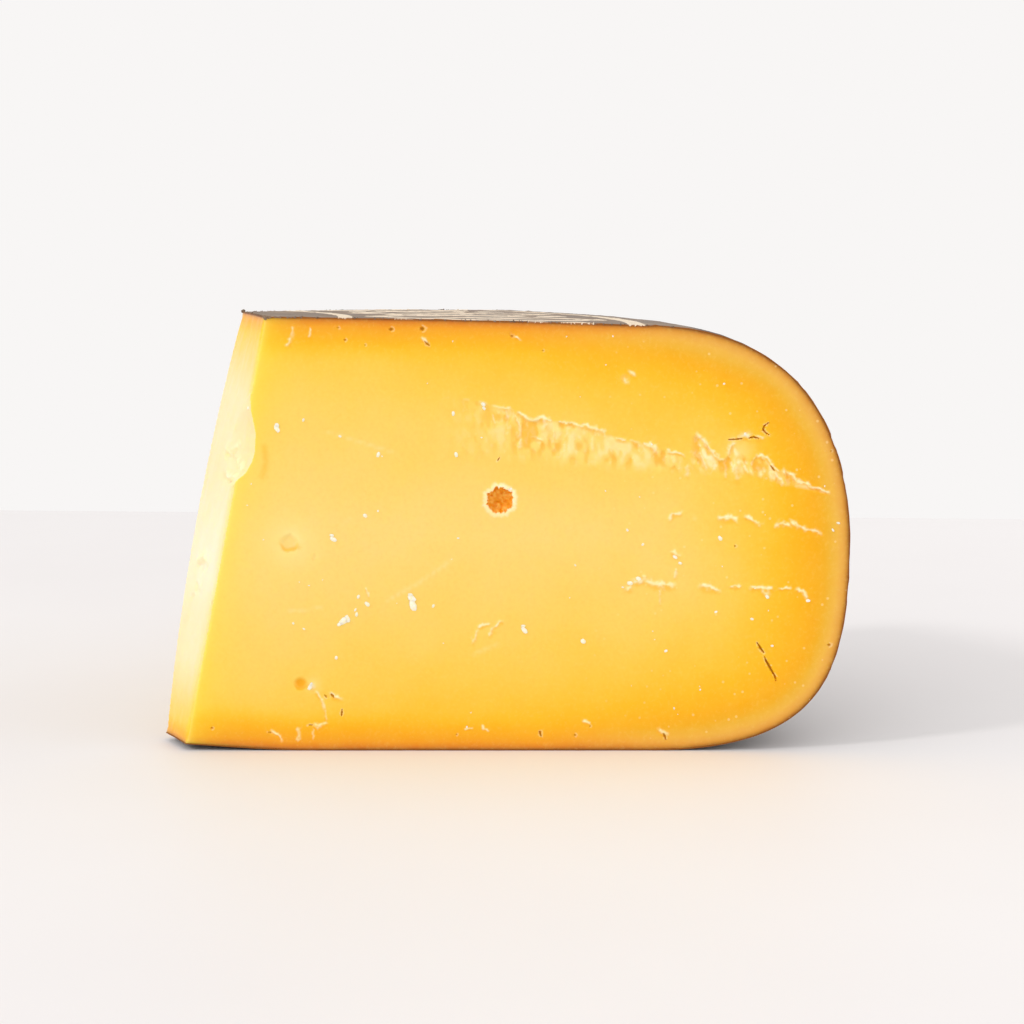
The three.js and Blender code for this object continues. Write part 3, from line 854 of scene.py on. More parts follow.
def makeCoat():
    edge = np.array((0,) + coat["edgeRows"]) / (150 * angle)
    middle = np.linspace(edge[-1], 1 - edge[-1], coat["columns"])[1:-1]
    share = np.concatenate([edge, middle, 1 - edge[::-1]])
    turns = share * angle
    crossings = np.array([noseCrossings(0, turn) for turn in turns])
    rows = int((crossings[0, 1] - crossings[0, 0]) / coat["step"])
    u = np.linspace(0, 1, rows)
    s = crossings[:, 0][None] + u[:, None] * (crossings[:, 1] - crossings[:, 0])[None]
    turn = np.broadcast_to(turns, s.shape)
    arc = turn * np.maximum(np.interp(s, section["s"], section["r"]), 20)

    # wrinkles, dents and a few blisters, along the outward normal
    waves = coat["wrinkle"] * 2 * (layeredNoise(s / 16, arc / 16, 201, 3) - 0.5)
    waves += 0.09 * (layeredNoise(s / 2.4, arc / 2.4, 211, 2) - 0.5)
    creases = np.abs(layeredNoise(s / 26, arc / 9, 221, 2) - 0.5)
    waves += 0.1 * np.exp(-(creases / 0.018) ** 2)
    blisters = layeredNoise(s / 3.1, arc / 3.1, 231, 1)
    waves += 0.2 * smoothStep(0.9, 0.99, blisters)
    height = np.interp(s, section["s"], section["z"])
    onRim = smoothStep(10, 26, height) * (1 - smoothStep(88, 103, height))
    waves += coat["rimWrinkle"] * onRim * (layeredNoise(s / 7, arc / 24, 251, 3) - 0.5)
    scuffs = layeredNoise(s / 5, arc / 11, 255, 2)
    waves -= 0.22 * onRim * smoothStep(0.72, 0.86, scuffs)
    resting = smoothStep(6, 14, height)
    resting = np.where(s > section["s"][-1] / 2, 1, resting)
    waves = waves * resting - 0.06 * (1 - resting)
    inset = np.minimum(-waves, coat["thickness"] - 0.12)

    def layer(depth):
        r, z, normalR, normalZ = (np.interp(s, section["s"], section[key])
                                  for key in ("r", "z", "normalR", "normalZ"))
        r, z = r + normalR * depth, z + normalZ * depth
        return np.stack([r * np.cos(turn), r * np.sin(turn), np.maximum(z, 0)], -1)

    outer = layer(inset)
    inner = layer(np.full(s.shape, coat["thickness"]))

    # the cut edges stand a little proud of the paste, and unevenly
    for column, side in ((0, -1), (-1, 1)):
        columnS = s[:, column]
        proud = 0.07 + coat["ragged"] * (layeredNoise(columnS / 1.7, 0 * columnS, 241 + column, 3) - 0.45)
        for at, width, depth in coat["notches"]:
            proud -= depth * np.exp(-((columnS - at) / width) ** 2)
        for row, weight in ((0, 1), (1, 0.6), (2, 0.25)):
            target = row if column == 0 else -1 - row
            across = np.stack([-np.sin(turn[:, target]), np.cos(turn[:, target]), 0 * columnS], -1) * side
            for skin in (outer, inner):
                skin[:, target] += across * (proud * weight)[:, None]
    for row, side in ((0, -1), (-1, -1)):
        proud = 0.05 + coat["ragged"] * (layeredNoise(arc[row] / 1.5, 0 * arc[row], 261 + row, 3) - 0.45)
        for skin in (outer, inner):
            skin[row] -= facet["inwards"] * proud[:, None]

    rowsCount, columnsCount = s.shape
    index = np.arange(rowsCount * columnsCount).reshape(rowsCount, columnsCount)
    offset = index.size
    faces = []
    for base, flip in ((index, False), (index + offset, True)):
        quads = np.stack([base[:-1, :-1], base[1:, :-1], base[1:, 1:], base[:-1, 1:]], -1).reshape(-1, 4)
        faces.extend((quads[:, ::-1] if flip else quads).tolist())
    loop = np.concatenate([index[:, 0], index[-1, 1:], index[-2::-1, -1], index[0, -2:0:-1]])
    following = np.roll(loop, -1)
    faces.extend(np.stack([loop, loop + offset, following + offset, following], 1).tolist())
    points = np.vstack([outer.reshape(-1, 3), inner.reshape(-1, 3)])

    # how close each point is to a cut edge, where the coat is scraped and thin
    fromEdge = np.minimum.reduce([arc, (angle - turn) * np.interp(s, section["s"], section["r"]),
                                  s - crossings[:, 0][None], crossings[:, 1][None] - s])
    masks = {"edge": np.tile(np.exp(-np.maximum(fromEdge, 0) / 0.8).ravel(), 2)}
    print("coat", len(points), "points", len(faces), "faces")
    return points, faces, masks


def linearColour(hexValue):
    # an sRGB hex value as linear red, green, blue and alpha
    parts = [int(hexValue[i:i + 2], 16) / 255 for i in (1, 3, 5)]
    return [p / 12.92 if p <= 0.04045 else ((p + 0.055) / 1.055) ** 2.4 for p in parts] + [1]


def addNode(tree, kind, inputs=None, stops=None, **settings):
    # adds a node with its settings, its colour stops where it has a ramp, and what goes into each input:
    # a value, another node's socket, or another node, which gives its first output
    node = tree.nodes.new(kind)
    for name, value in settings.items():
        setattr(node, name, value)
    for name, value in (inputs or {}).items():
        if isinstance(value, bpy.types.Node):
            value = value.outputs[0]
        if isinstance(value, bpy.types.NodeSocket):
            tree.links.new(value, node.inputs[name])
        else:
            node.inputs[name].default_value = value
    if stops:
        ramp = node.color_ramp
        while len(ramp.elements) < len(stops):
            ramp.elements.new(0.5)
        for element, (position, colour) in zip(ramp.elements, stops):
            element.position = position
            element.color = linearColour(colour)
    return node


def newMaterial(name):
    # an empty material, the function that adds its nodes, and its place on the object
    material = bpy.data.materials.new(name)
    material.use_nodes = True
    material.node_tree.nodes.clear()
    add = partial(addNode, material.node_tree)
    return material, add, add("ShaderNodeTexCoord").outputs["Object"]


pasteLook = {
    "heartShown": 76,        # the colours of the heart are spread over this depth, in mm
    "heart": [               # amber where it dried out, yellow in the middle
        (10, "#f6b400"), (15, "#fab900"), (20, "#fdc118"), (26, "#fec837"), (34, "#fece50"),
        (42, "#fed261"), (56, "#fed572"), (74, "#fed87f"),
    ],
    "rindShown": 12,
    "flatRind": [            # under the top and over the base
        (0, "#a8581a"), (0.5, "#da801e"), (1, "#e8901c"), (1.5, "#ed9a18"), (2, "#f3a316"),
        (3, "#f4ab12"), (4.5, "#f8b30a"), (6, "#fab904"), (8, "#fdc112"), (12, "#fecb30"),
    ],
    "rimRind": [             # round the rim, with a paler band
        (0, "#985414"), (0.4, "#c47e28"), (0.8, "#d89636"), (1.3, "#e4a644"), (2, "#eab04a"),
        (3, "#eeb948"), (4.5, "#edb838"), (6, "#efb31a"), (8, "#f2b000"), (12, "#f8b600"),
    ],
    "wander": (18.2, 0.1),   # the depth of each colour varies over this many mm, by this share
    "mottle": (3.85, "#ffdf6a", 0.1),   # curd mottling: its size in mm, colour and strength
    "fine": 1.053,           # size of the fine curd, in mm
    "finePale": ("#ffe688", 0.12),
    "fineRipe": ("#eda41c", 0.08),
    "specks": (3.33, "#ffe9ac", 0.4),   # spacing of the pale curd specks, mostly near the rim
    "grain": 0.455,          # size of the cut's grain, in mm
    "soft": 2.38,            # size of its soft unevenness, in mm
    "lemon": ("#ffe23c", 0.6),
    "pale": "#ffe79a",
    # dry paste, and painted light over the nose facet
    "dryAndLit": "#ffedcc",
    # torn paste, and painted highlights on ridges and on the lit walls of holes
    "tornAndHighlight": "#fff2c4",
    # painted shade in dimples, cups and under flakes
    "amberShade": "#fcb40c",
    # painted shade inside the gas holes
    "hollow": "#f09600",
    # painted shade in cracks and pinholes
    "crackAndPitShade": "#d2940c",
    "roughness": (0.38, 0.54),
    "scatter": (1.0, 0.75, 0.3),   # red light travels furthest
    "scatterReach": 0.0026,
}


def agedCheesePaste():
    # Aged hard cheese, cut with a knife: smooth, faintly oily and translucent, so light soaks in
    # and comes back warm. It is drier and browner towards the rind, and chalk-white where it tore.
    look = pasteLook
    material, add, place = newMaterial("agedCheesePaste")
    mask = {name: add("ShaderNodeAttribute", attribute_name=name).outputs["Fac"]
            for name in ("depth", "heart", "rim", "lemon") + marksAndShade}

    # the depth where each colour begins wanders a little
    size, share = look["wander"]
    wander = add("ShaderNodeTexNoise", {"Vector": place, "Scale": 1 / (size * mm), "Detail": 3})
    wander = add("ShaderNodeMapRange", {"Value": wander, "From Min": 0.3, "From Max": 0.7,
                                        "To Min": 1 - share, "To Max": 1 + share})

    def coloursByDepth(depth, shown, colours):
        share = add("ShaderNodeMath", {0: depth, 1: wander}, operation="MULTIPLY")
        share = add("ShaderNodeMath", {0: share, 1: shown}, operation="DIVIDE")
        stops = [(at / shown, colour) for at, colour in colours]
        return add("ShaderNodeValToRGB", {"Fac": share}, stops=stops)

    flat = coloursByDepth(mask["depth"], look["rindShown"], look["flatRind"])
    rim = coloursByDepth(mask["depth"], look["rindShown"], look["rimRind"])
    heart = coloursByDepth(mask["heart"], look["heartShown"], look["heart"])
    rind = add("ShaderNodeMixRGB", {"Fac": mask["rim"], "Color1": flat, "Color2": rim})
    inner = add("ShaderNodeMapRange", {"Value": mask["depth"], "From Min": 5.0, "From Max": 12.0},
                interpolation_type="SMOOTHSTEP")
    base = add("ShaderNodeMixRGB", {"Fac": inner, "Color1": rind, "Color2": heart})

    # curd: mottling, fine curd that is paler or riper, and tiny specks out towards the rim
    size, colour, strength = look["mottle"]
    mottle = add("ShaderNodeTexNoise", {"Vector": place, "Scale": 1 / (size * mm), "Detail": 4,
                                        "Roughness": 0.6})
    mottle = add("ShaderNodeMapRange", {"Value": mottle, "From Min": 0.35, "From Max": 0.75,
                                        "To Min": 0.0, "To Max": strength})
    base = add("ShaderNodeMixRGB", {"Fac": mottle, "Color1": base, "Color2": linearColour(colour)})
    fine = add("ShaderNodeTexNoise", {"Vector": place, "Scale": 1 / (look["fine"] * mm), "Detail": 3,
                                      "Roughness": 0.65})
    for (colour, strength), low, high in ((look["finePale"], 0.52, 0.74), (look["fineRipe"], 0.5, 0.28)):
        amount = add("ShaderNodeMapRange", {"Value": fine, "From Min": low, "From Max": high,
                                            "To Min": 0.0, "To Max": strength})
        base = add("ShaderNodeMixRGB", {"Fac": amount, "Color1": base, "Color2": linearColour(colour)})
    size, colour, strength = look["specks"]
    speck = add("ShaderNodeTexVoronoi", {"Vector": place, "Scale": 1 / (size * mm)})
    speck = add("ShaderNodeMapRange", {"Value": speck, "From Min": 0.07, "From Max": 0.13,
                                       "To Min": strength, "To Max": 0.0})
    speck = add("ShaderNodeMath", {0: speck, 1: mask["rim"]}, operation="MULTIPLY")
    base = add("ShaderNodeMixRGB", {"Fac": speck, "Color1": base, "Color2": linearColour(colour)})

    # the young yellow at worn edges and painted shade in the nose's creases, then what the knife and the
    # years left, with painted shade and highlights laid in with them
    colour, strength = look["lemon"]
    lemon = add("ShaderNodeMath", {0: mask["lemon"], 1: strength}, operation="MULTIPLY")
    base = add("ShaderNodeMixRGB", {"Fac": lemon, "Color1": base, "Color2": linearColour(colour)})
    for name in marksAndShade:
        base = add("ShaderNodeMixRGB", {"Fac": mask[name], "Color1": base,
                                        "Color2": linearColour(look[name])})

    # the cut's grain over soft unevenness, which also varies the gloss
    grain = add("ShaderNodeTexNoise", {"Vector": place, "Scale": 1 / (look["grain"] * mm), "Detail": 3})
    soft = add("ShaderNodeTexNoise", {"Vector": place, "Scale": 1 / (look["soft"] * mm), "Detail": 2})
    height = add("ShaderNodeMath", {0: grain, 1: 0.35, 2: soft}, operation="MULTIPLY_ADD")
    bump = add("ShaderNodeBump", {"Height": height, "Strength": 0.25, "Distance": 0.2 * mm})
    rough = add("ShaderNodeMapRange", {"Value": soft, "From Min": 0.3, "From Max": 0.7,
                                       "To Min": look["roughness"][0], "To Max": look["roughness"][1]})
    shader = add("ShaderNodeBsdfPrincipled", {
        "Base Color": base, "Roughness": rough, "IOR": 1.45, "Specular IOR Level": 0.3, "Normal": bump,
        "Subsurface Weight": 0.55, "Subsurface Radius": look["scatter"],
        "Subsurface Scale": look["scatterReach"], "Subsurface Anisotropy": 0.2,
    })
    add("ShaderNodeOutputMaterial", {"Surface": shader})
    return material


coatLook = {
    "film": ("#665443", "#806c5a", "#9c8670"),   # the printed top: dark, middle and light
    "bare": ("#332013", "#442c1c", "#563c29"),   # rim and base
    "filmEdge": (150.0, 153.0),   # radii between which the printed top ends, in mm
    "scuffed": ("#7c5f45", 0.35),   # small rubbed spots on the bare coating
    "print": "#ead7bc",
    "edge": ("#96580f", 0.85),   # where the knife left the coat thin, the brown rind shows through
    "petals": 20,            # round the whole wheel
    "petalRing": (67, 131),  # inner and outer radius of the ring of leaves, in mm
    "petalWidth": 14.5,      # half a leaf's width at the middle of the ring, in mm
    "petalLine": 0.34,       # width of its outline, as a share of its size
    "vein": (4.2, 3.4),      # how thin and how short the vein inside it is
    "dots": [(121, 4.2), (111, 2.6), (77, 2.4)],   # between the leaves: radius and size, in mm
    "bands": [(62, 1.8), (136, 2.2)],   # plain rings: radius and half width, in mm
    "worn": 2.0,             # size of the spots where the print is rubbed off, in mm
    "cloudy": 11.1,          # size of the lighter and darker patches, in mm
    "grain": 0.667,          # size of the brushed coat's grain, in mm
    "ripple": 3.03,          # and of its ripples
    "roughness": (0.42, 0.6),
}


def printedCheeseCoat():
    # Plastic cheese coating, brushed on in layers: dark, thin and satin. The top is printed in cream.
    look = coatLook
    material, add, place = newMaterial("printedCheeseCoat")
    centred = add("ShaderNodeMapping", {"Vector": place, "Location": (-wheelAxis * mm).tolist()})
    millimetres = add("ShaderNodeVectorMath", {0: centred, "Scale": 1000.0}, operation="SCALE")
    x, y, z = add("ShaderNodeSeparateXYZ", {"Vector": millimetres}).outputs
    squareX = add("ShaderNodeMath", {0: x, 1: x}, operation="MULTIPLY")
    squares = add("ShaderNodeMath", {0: y, 1: y, 2: squareX}, operation="MULTIPLY_ADD")
    radius = add("ShaderNodeMath", {0: squares}, operation="SQRT")
    turn = add("ShaderNodeMath", {0: y, 1: x}, operation="ARCTAN2")
    onTop = add("ShaderNodeMath", {0: z, 1: 60.0}, operation="GREATER_THAN")

    # how far each place lies from the middle of its leaf, as shares of half its width and length
    low, high = look["petalRing"]
    pitch = 2 * math.pi / look["petals"]
    sideways = add("ShaderNodeMath", {0: turn, 1: pitch}, operation="FLOORED_MODULO")
    sideways = add("ShaderNodeMath", {0: sideways, 1: pitch / 2}, operation="SUBTRACT")
    sideways = add("ShaderNodeMath", {0: sideways, 1: radius}, operation="MULTIPLY")
    crosswise = add("ShaderNodeMath", {0: sideways, 1: look["petalWidth"]}, operation="DIVIDE")
    crosswise = add("ShaderNodeMath", {0: crosswise}, operation="ABSOLUTE")
    lengthwise = add("ShaderNodeMath", {0: radius, 1: (low + high) / 2}, operation="SUBTRACT")
    lengthwise = add("ShaderNodeMath", {0: lengthwise, 1: (high - low) / 2}, operation="DIVIDE")
    lengthwise = add("ShaderNodeMath", {0: lengthwise, 1: lengthwise}, operation="MULTIPLY")

    # the leaf's outline and vein
    reach = add("ShaderNodeMath", {0: crosswise, 1: lengthwise}, operation="ADD")
    reach = add("ShaderNodeMath", {0: reach, 1: 1 - look["petalLine"] / 2}, operation="SUBTRACT")
    reach = add("ShaderNodeMath", {0: reach}, operation="ABSOLUTE")
    outline = add("ShaderNodeMath", {0: reach, 1: look["petalLine"] / 2}, operation="LESS_THAN")
    thin, short = look["vein"]
    vein = add("ShaderNodeMath", {0: lengthwise, 1: short}, operation="MULTIPLY")
    vein = add("ShaderNodeMath", {0: crosswise, 1: thin, 2: vein}, operation="MULTIPLY_ADD")
    vein = add("ShaderNodeMath", {0: vein, 1: 1.0}, operation="LESS_THAN")
    ink = add("ShaderNodeMath", {0: outline, 1: vein}, operation="MAXIMUM")

    # dots between the leaves, and the plain rings
    between = add("ShaderNodeMath", {0: turn, 1: pitch / 2}, operation="ADD")
    between = add("ShaderNodeMath", {0: between, 1: pitch}, operation="FLOORED_MODULO")
    between = add("ShaderNodeMath", {0: between, 1: pitch / 2}, operation="SUBTRACT")
    between = add("ShaderNodeMath", {0: between, 1: radius}, operation="MULTIPLY")
    between = add("ShaderNodeMath", {0: between, 1: between}, operation="MULTIPLY")
    for dotRadius, dotSize in look["dots"]:
        away = add("ShaderNodeMath", {0: radius, 1: dotRadius}, operation="SUBTRACT")
        away = add("ShaderNodeMath", {0: away, 1: away, 2: between}, operation="MULTIPLY_ADD")
        dot = add("ShaderNodeMath", {0: away, 1: dotSize ** 2}, operation="LESS_THAN")
        ink = add("ShaderNodeMath", {0: ink, 1: dot}, operation="MAXIMUM")
    for bandRadius, halfWidth in look["bands"]:
        ring = add("ShaderNodeMath", {0: radius, 1: bandRadius, 2: halfWidth}, operation="COMPARE")
        ink = add("ShaderNodeMath", {0: ink, 1: ring}, operation="MAXIMUM")
    worn = add("ShaderNodeTexNoise", {"Vector": place, "Scale": 1 / (look["worn"] * mm), "Detail": 4,
                                      "Roughness": 0.7})
    kept = add("ShaderNodeMapRange", {"Value": worn, "From Min": 0.3, "From Max": 0.42})
    ink = add("ShaderNodeMath", {0: ink, 1: onTop}, operation="MULTIPLY")
    ink = add("ShaderNodeMath", {0: ink, 1: kept}, operation="MULTIPLY")

    # the bare coating, brushed on round the wheel, in faint strokes
    strokeX = add("ShaderNodeMath", {0: turn, 1: 9.0}, operation="MULTIPLY")
    strokeY = add("ShaderNodeMath", {0: z, 1: radius}, operation="ADD")
    strokeY = add("ShaderNodeMath", {0: strokeY, 1: 0.35}, operation="MULTIPLY")
    strokes = add("ShaderNodeCombineXYZ", {"X": strokeX, "Y": strokeY})
    strokes = add("ShaderNodeTexNoise", {"Vector": strokes, "Scale": 1.0, "Detail": 4, "Roughness": 0.6})
    cloudy = add("ShaderNodeTexNoise", {"Vector": place, "Scale": 1 / (look["cloudy"] * mm), "Detail": 5,
                                        "Roughness": 0.62})
    blend = add("ShaderNodeMath", {0: strokes, 1: 0.15}, operation="MULTIPLY")
    blend = add("ShaderNodeMath", {0: cloudy, 1: 0.85, 2: blend}, operation="MULTIPLY_ADD")
    bare = add("ShaderNodeValToRGB", {"Fac": blend}, stops=list(zip((0.3, 0.5, 0.72), look["bare"])))
    colour, strength = look["scuffed"]
    scuffed = add("ShaderNodeMapRange", {"Value": worn, "From Min": 0.6, "From Max": 0.68,
                                         "To Min": 0.0, "To Max": strength})
    bare = add("ShaderNodeMixRGB", {"Fac": scuffed, "Color1": bare, "Color2": linearColour(colour)})

    # the printed film over it on the top, and the thin edges beside the cuts
    printed = add("ShaderNodeValToRGB", {"Fac": cloudy}, stops=list(zip((0.3, 0.5, 0.72), look["film"])))
    film = add("ShaderNodeMapRange", {"Value": radius, "From Min": look["filmEdge"][0],
                                      "From Max": look["filmEdge"][1], "To Min": 1.0, "To Max": 0.0})
    film = add("ShaderNodeMath", {0: film, 1: onTop}, operation="MULTIPLY")
    base = add("ShaderNodeMixRGB", {"Fac": film, "Color1": bare, "Color2": printed})
    base = add("ShaderNodeMixRGB", {"Fac": ink, "Color1": base, "Color2": linearColour(look["print"])})
    colour, strength = look["edge"]
    edge = add("ShaderNodeAttribute", attribute_name="edge").outputs["Fac"]
    edge = add("ShaderNodeMapRange", {"Value": edge, "From Min": 0.45, "From Max": 1.0,
                                      "To Min": 0.0, "To Max": strength})
    base = add("ShaderNodeMixRGB", {"Fac": edge, "Color1": base, "Color2": linearColour(colour)})

    # brushed-on texture: grain, ripples and brush strokes
    grain = add("ShaderNodeTexNoise", {"Vector": place, "Scale": 1 / (look["grain"] * mm), "Detail": 3})
    ripple = add("ShaderNodeTexNoise", {"Vector": place, "Scale": 1 / (look["ripple"] * mm), "Detail": 3})
    height = add("ShaderNodeMath", {0: strokes, 1: 1.2, 2: ripple}, operation="MULTIPLY_ADD")
    height = add("ShaderNodeMath", {0: grain, 1: 0.3, 2: height}, operation="MULTIPLY_ADD")
    bump = add("ShaderNodeBump", {"Height": height, "Strength": 0.6, "Distance": 0.4 * mm})
    rough = add("ShaderNodeMapRange", {"Value": cloudy, "From Min": 0.3, "From Max": 0.7,
                                       "To Min": look["roughness"][0], "To Max": look["roughness"][1]})
    shader = add("ShaderNodeBsdfPrincipled", {"Base Color": base, "Roughness": rough, "IOR": 1.48,
                                              "Normal": bump, "Specular IOR Level": 0.2})
    add("ShaderNodeOutputMaterial", {"Surface": shader})
    return material


crystalLook = {
    "chalk": ("#ffeec0", "#fff8e6"),   # in its cracks, and on its faces
    "grain": 0.556,          # in mm
    "roughness": 0.6,
}


def tyrosineCrystal():
    # Crunchy white amino-acid crystals of aged cheese: matt and chalky, a little translucent.
    look = crystalLook
    material, add, place = newMaterial("tyrosineCrystal")
    chalk = add("ShaderNodeTexNoise", {"Vector": place, "Scale": 1 / (look["grain"] * mm), "Detail": 2})
    base = add("ShaderNodeValToRGB", {"Fac": chalk}, stops=list(zip((0.3, 0.6), look["chalk"])))
    shader = add("ShaderNodeBsdfPrincipled", {
        "Base Color": base, "Roughness": look["roughness"], "IOR": 1.5, "Subsurface Weight": 0.4,
        "Subsurface Radius": (1.0, 0.8, 0.5), "Subsurface Scale": 0.6 * mm})
    add("ShaderNodeOutputMaterial", {"Surface": shader})
    return material


# Crystals in the cuts and shreds of coat along their edges, scattered by Geometry Nodes.
crystals = {
    "small": {"front": 40, "back": 55},
    "smallSize": (0.2, 0.42),   # mm
    "growth": 1.3,              # of the larger ones, which are named in the cuts
    "seed": 5,
    "flatness": 0.5,
    "detail": 2,                # subdivisions of each crystal
}
shreds = {
    "placed": [   # distance from the nose, and size
        (0.3, 1.2), (1.3, 0.9), (3.6, 0.9), (6, 0.7), (9.5, 0.7), (86, 0.5), (95.4, 0.6), (61, 0.45),
    ],
    "loose": 105,                # more along each cut edge of the top
    "looseSize": (0.2, 0.65),
    "noseCount": 44,
    "seed": 9,
    "flatness": 0.45,
    "detail": 1,                 # there are hundreds of shreds, so each has only 20 faces
}


def crystalSeeds():
    places, sizes, normals = [], [], []
    for cut, count in ((frontCut, crystals["small"]["front"]), (backCut, crystals["small"]["back"])):
        random = np.random.default_rng(crystals["seed"] + cut["seed"])
        big = np.array(cut["crystals"])
        x, z = random.uniform(25, wheelRadius, 4000), random.uniform(3, 110, 4000)
        fits = (x > cut["noseAlong"](z) + 2)
        x, z = x[fits], z[fits]
        fits = depthBelowRind(x, z) > 3
        x, z = x[fits][:count], z[fits][:count]
        small = random.uniform(*crystals["smallSize"], len(x)) * random.choice([1, 1, 1, 1.6], len(x))
        x, z = np.append(big[:, 0], x), np.append(big[:, 1], z)
        size = np.append(big[:, 2] * crystals["growth"], small)
        inwards, colours = relief(cut, x, z)
        keep = (colours["hollow"] < 0.5) | (np.arange(len(x)) < len(big))
        x, z, size, inwards = x[keep], z[keep], size[keep], inwards[keep]
        place = x[:, None] * cutDirection(cut) + np.stack([0 * x, 0 * x, z], 1)
        place = place + cut["inwards"] * (np.clip(inwards, -0.5, 1.2) + 0.12 * size)[:, None]
        places.append(place)
        sizes.append(size)
        normals.append(np.tile(-cut["inwards"], (len(x), 1)))
    return np.vstack(places), np.concatenate(sizes), np.vstack(normals)


def shredSeeds():
    random = np.random.default_rng(shreds["seed"])
    half = len(section["s"]) // 2
    placed = np.array(shreds["placed"])
    places, sizes = [], []
    for turn, side in ((0, -1), (angle, 1)):
        corner = np.interp(noseCrossings(0, turn)[1], section["s"], section["r"])
        radius = corner + np.append(placed[:, 0], random.uniform(0, 105, shreds["loose"]))
        size = np.append(placed[:, 1], random.uniform(*shreds["looseSize"], shreds["loose"]))
        s = np.interp(-radius, -section["r"][half:], section["s"][half:])
        out = random.uniform(-0.1, 0.25, len(s))
        sideways = np.array([-math.sin(turn), math.cos(turn), 0]) * side
        places.append(onWheel(s, turn + 0 * s) + sideways * out[:, None] - np.array([0, 0, 0.1]))
        sizes.append(size)
    turns = random.uniform(0, angle, shreds["noseCount"])
    s = np.array([noseCrossings(0, turn)[1] for turn in turns])
    places.append(onWheel(s, turns))
    sizes.append(random.uniform(0.2, 0.6, len(turns)))
    places, sizes = np.vstack(places), np.concatenate(sizes)
    return places, sizes, random.normal(0, 1, places.shape)


def crumbTree(material):
    # a lumpy crumb on each seed, as large as its "size", lying flat against its "facing"
    tree = bpy.data.node_groups.new("Crumbs On Points", "GeometryNodeTree")
    for name, way, kind in (("Seeds", "INPUT", "Geometry"), ("Flatness", "INPUT", "Float"),
                            ("Detail", "INPUT", "Int"), ("Seed", "INPUT", "Int"),
                            ("Geometry", "OUTPUT", "Geometry")):
        tree.interface.new_socket(name=name, in_out=way, socket_type="NodeSocket" + kind)
    add = partial(addNode, tree)
    given = add("NodeGroupInput").outputs
    lump = add("GeometryNodeMeshIcoSphere", {"Radius": 0.5 * mm, "Subdivisions": given["Detail"]})
    ranges = {"shake": ((-0.16 * mm,) * 3, (0.16 * mm,) * 3), "spin": ((0.0, 0.0, 0.0), (0.0, 0.0, 6.283)),
              "stretch": ((0.95, 1.1, 0.0), (1.3, 1.7, 0.0))}
    shake, spin, stretch = (add("FunctionNodeRandomValue", {"Min": low, "Max": high, "Seed": given["Seed"]},
                                data_type="FLOAT_VECTOR") for low, high in ranges.values())
    lump = add("GeometryNodeSetPosition", {"Geometry": lump, "Offset": shake})
    size = add("GeometryNodeInputNamedAttribute", {"Name": "size"}, data_type="FLOAT")
    facing = add("GeometryNodeInputNamedAttribute", {"Name": "facing"}, data_type="FLOAT_VECTOR")
    aligned = add("FunctionNodeAlignRotationToVector", {"Vector": facing}, axis="Z")
    turned = add("FunctionNodeRotateRotation", {"Rotation": aligned, "Rotate By": spin},
                 rotation_space="LOCAL")
    long, wide, _ = add("ShaderNodeSeparateXYZ", {"Vector": stretch}).outputs
    shape = add("ShaderNodeCombineXYZ", {"X": long, "Y": wide, "Z": given["Flatness"]})
    scale = add("ShaderNodeVectorMath", {0: shape, "Scale": size}, operation="SCALE")
    placed = add("GeometryNodeInstanceOnPoints", {"Points": given["Seeds"], "Instance": lump,
                                                  "Rotation": turned, "Scale": scale})
    real = add("GeometryNodeRealizeInstances", {"Geometry": placed})
    finished = add("GeometryNodeSetMaterial", {"Geometry": real, "Material": material})
    add("NodeGroupOutput", {"Geometry": finished})
    return tree


def applyNodes(piece, tree, values):
    # runs a Geometry Nodes tree on a piece and keeps the result as its plain mesh
    modifier = piece.modifiers.new("nodes", "NODES")
    modifier.node_group = tree
    sockets = {item.name: item.identifier for item in tree.interface.items_tree if item.in_out == "INPUT"}
    for name, value in values.items():
        modifier[sockets[name]] = value
    evaluated = piece.evaluated_get(bpy.context.evaluated_depsgraph_get())
    mesh = bpy.data.meshes.new_from_object(evaluated)
    piece.modifiers.remove(modifier)
    piece.data = mesh


def makeCrumbs(name, seeds, material, look):
    places, sizes, normals = seeds
    mesh = bpy.data.meshes.new(name)
    mesh.from_pydata(((places + wheelAxis) * mm).tolist(), [], [])
    mesh.attributes.new("size", "FLOAT", "POINT").data.foreach_set("value", sizes.astype(np.float32))
    facing = mesh.attributes.new("facing", "FLOAT_VECTOR", "POINT")
    facing.data.foreach_set("vector", normals.astype(np.float32).ravel())
    piece = bpy.data.objects.new(name, mesh)
    bpy.context.scene.collection.objects.link(piece)
    applyNodes(piece, crumbTree(material), {"Flatness": look["flatness"], "Detail": look["detail"],
                                            "Seed": look["seed"]})
    print(name, len(places))
    return piece


points, faces, masks = makePaste()
cheesePaste = meshPiece("cheesePaste", points, faces, masks)
cheesePaste.data.materials.append(agedCheesePaste())
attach(cheesePaste, "root")
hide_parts("cheese_paste")

points, faces, masks = makeCoat()
rindCoat = meshPiece("rindCoat", points, faces, masks)
rindCoat.data.materials.append(printedCheeseCoat())
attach(rindCoat, "root")
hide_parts("rind_coat")

crystalPiece = makeCrumbs("crystals", crystalSeeds(), tyrosineCrystal(), crystals)
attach(crystalPiece, "root")

shredPiece = makeCrumbs("coatShreds", shredSeeds(), rindCoat.data.materials[0], shreds)
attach(shredPiece, "root")


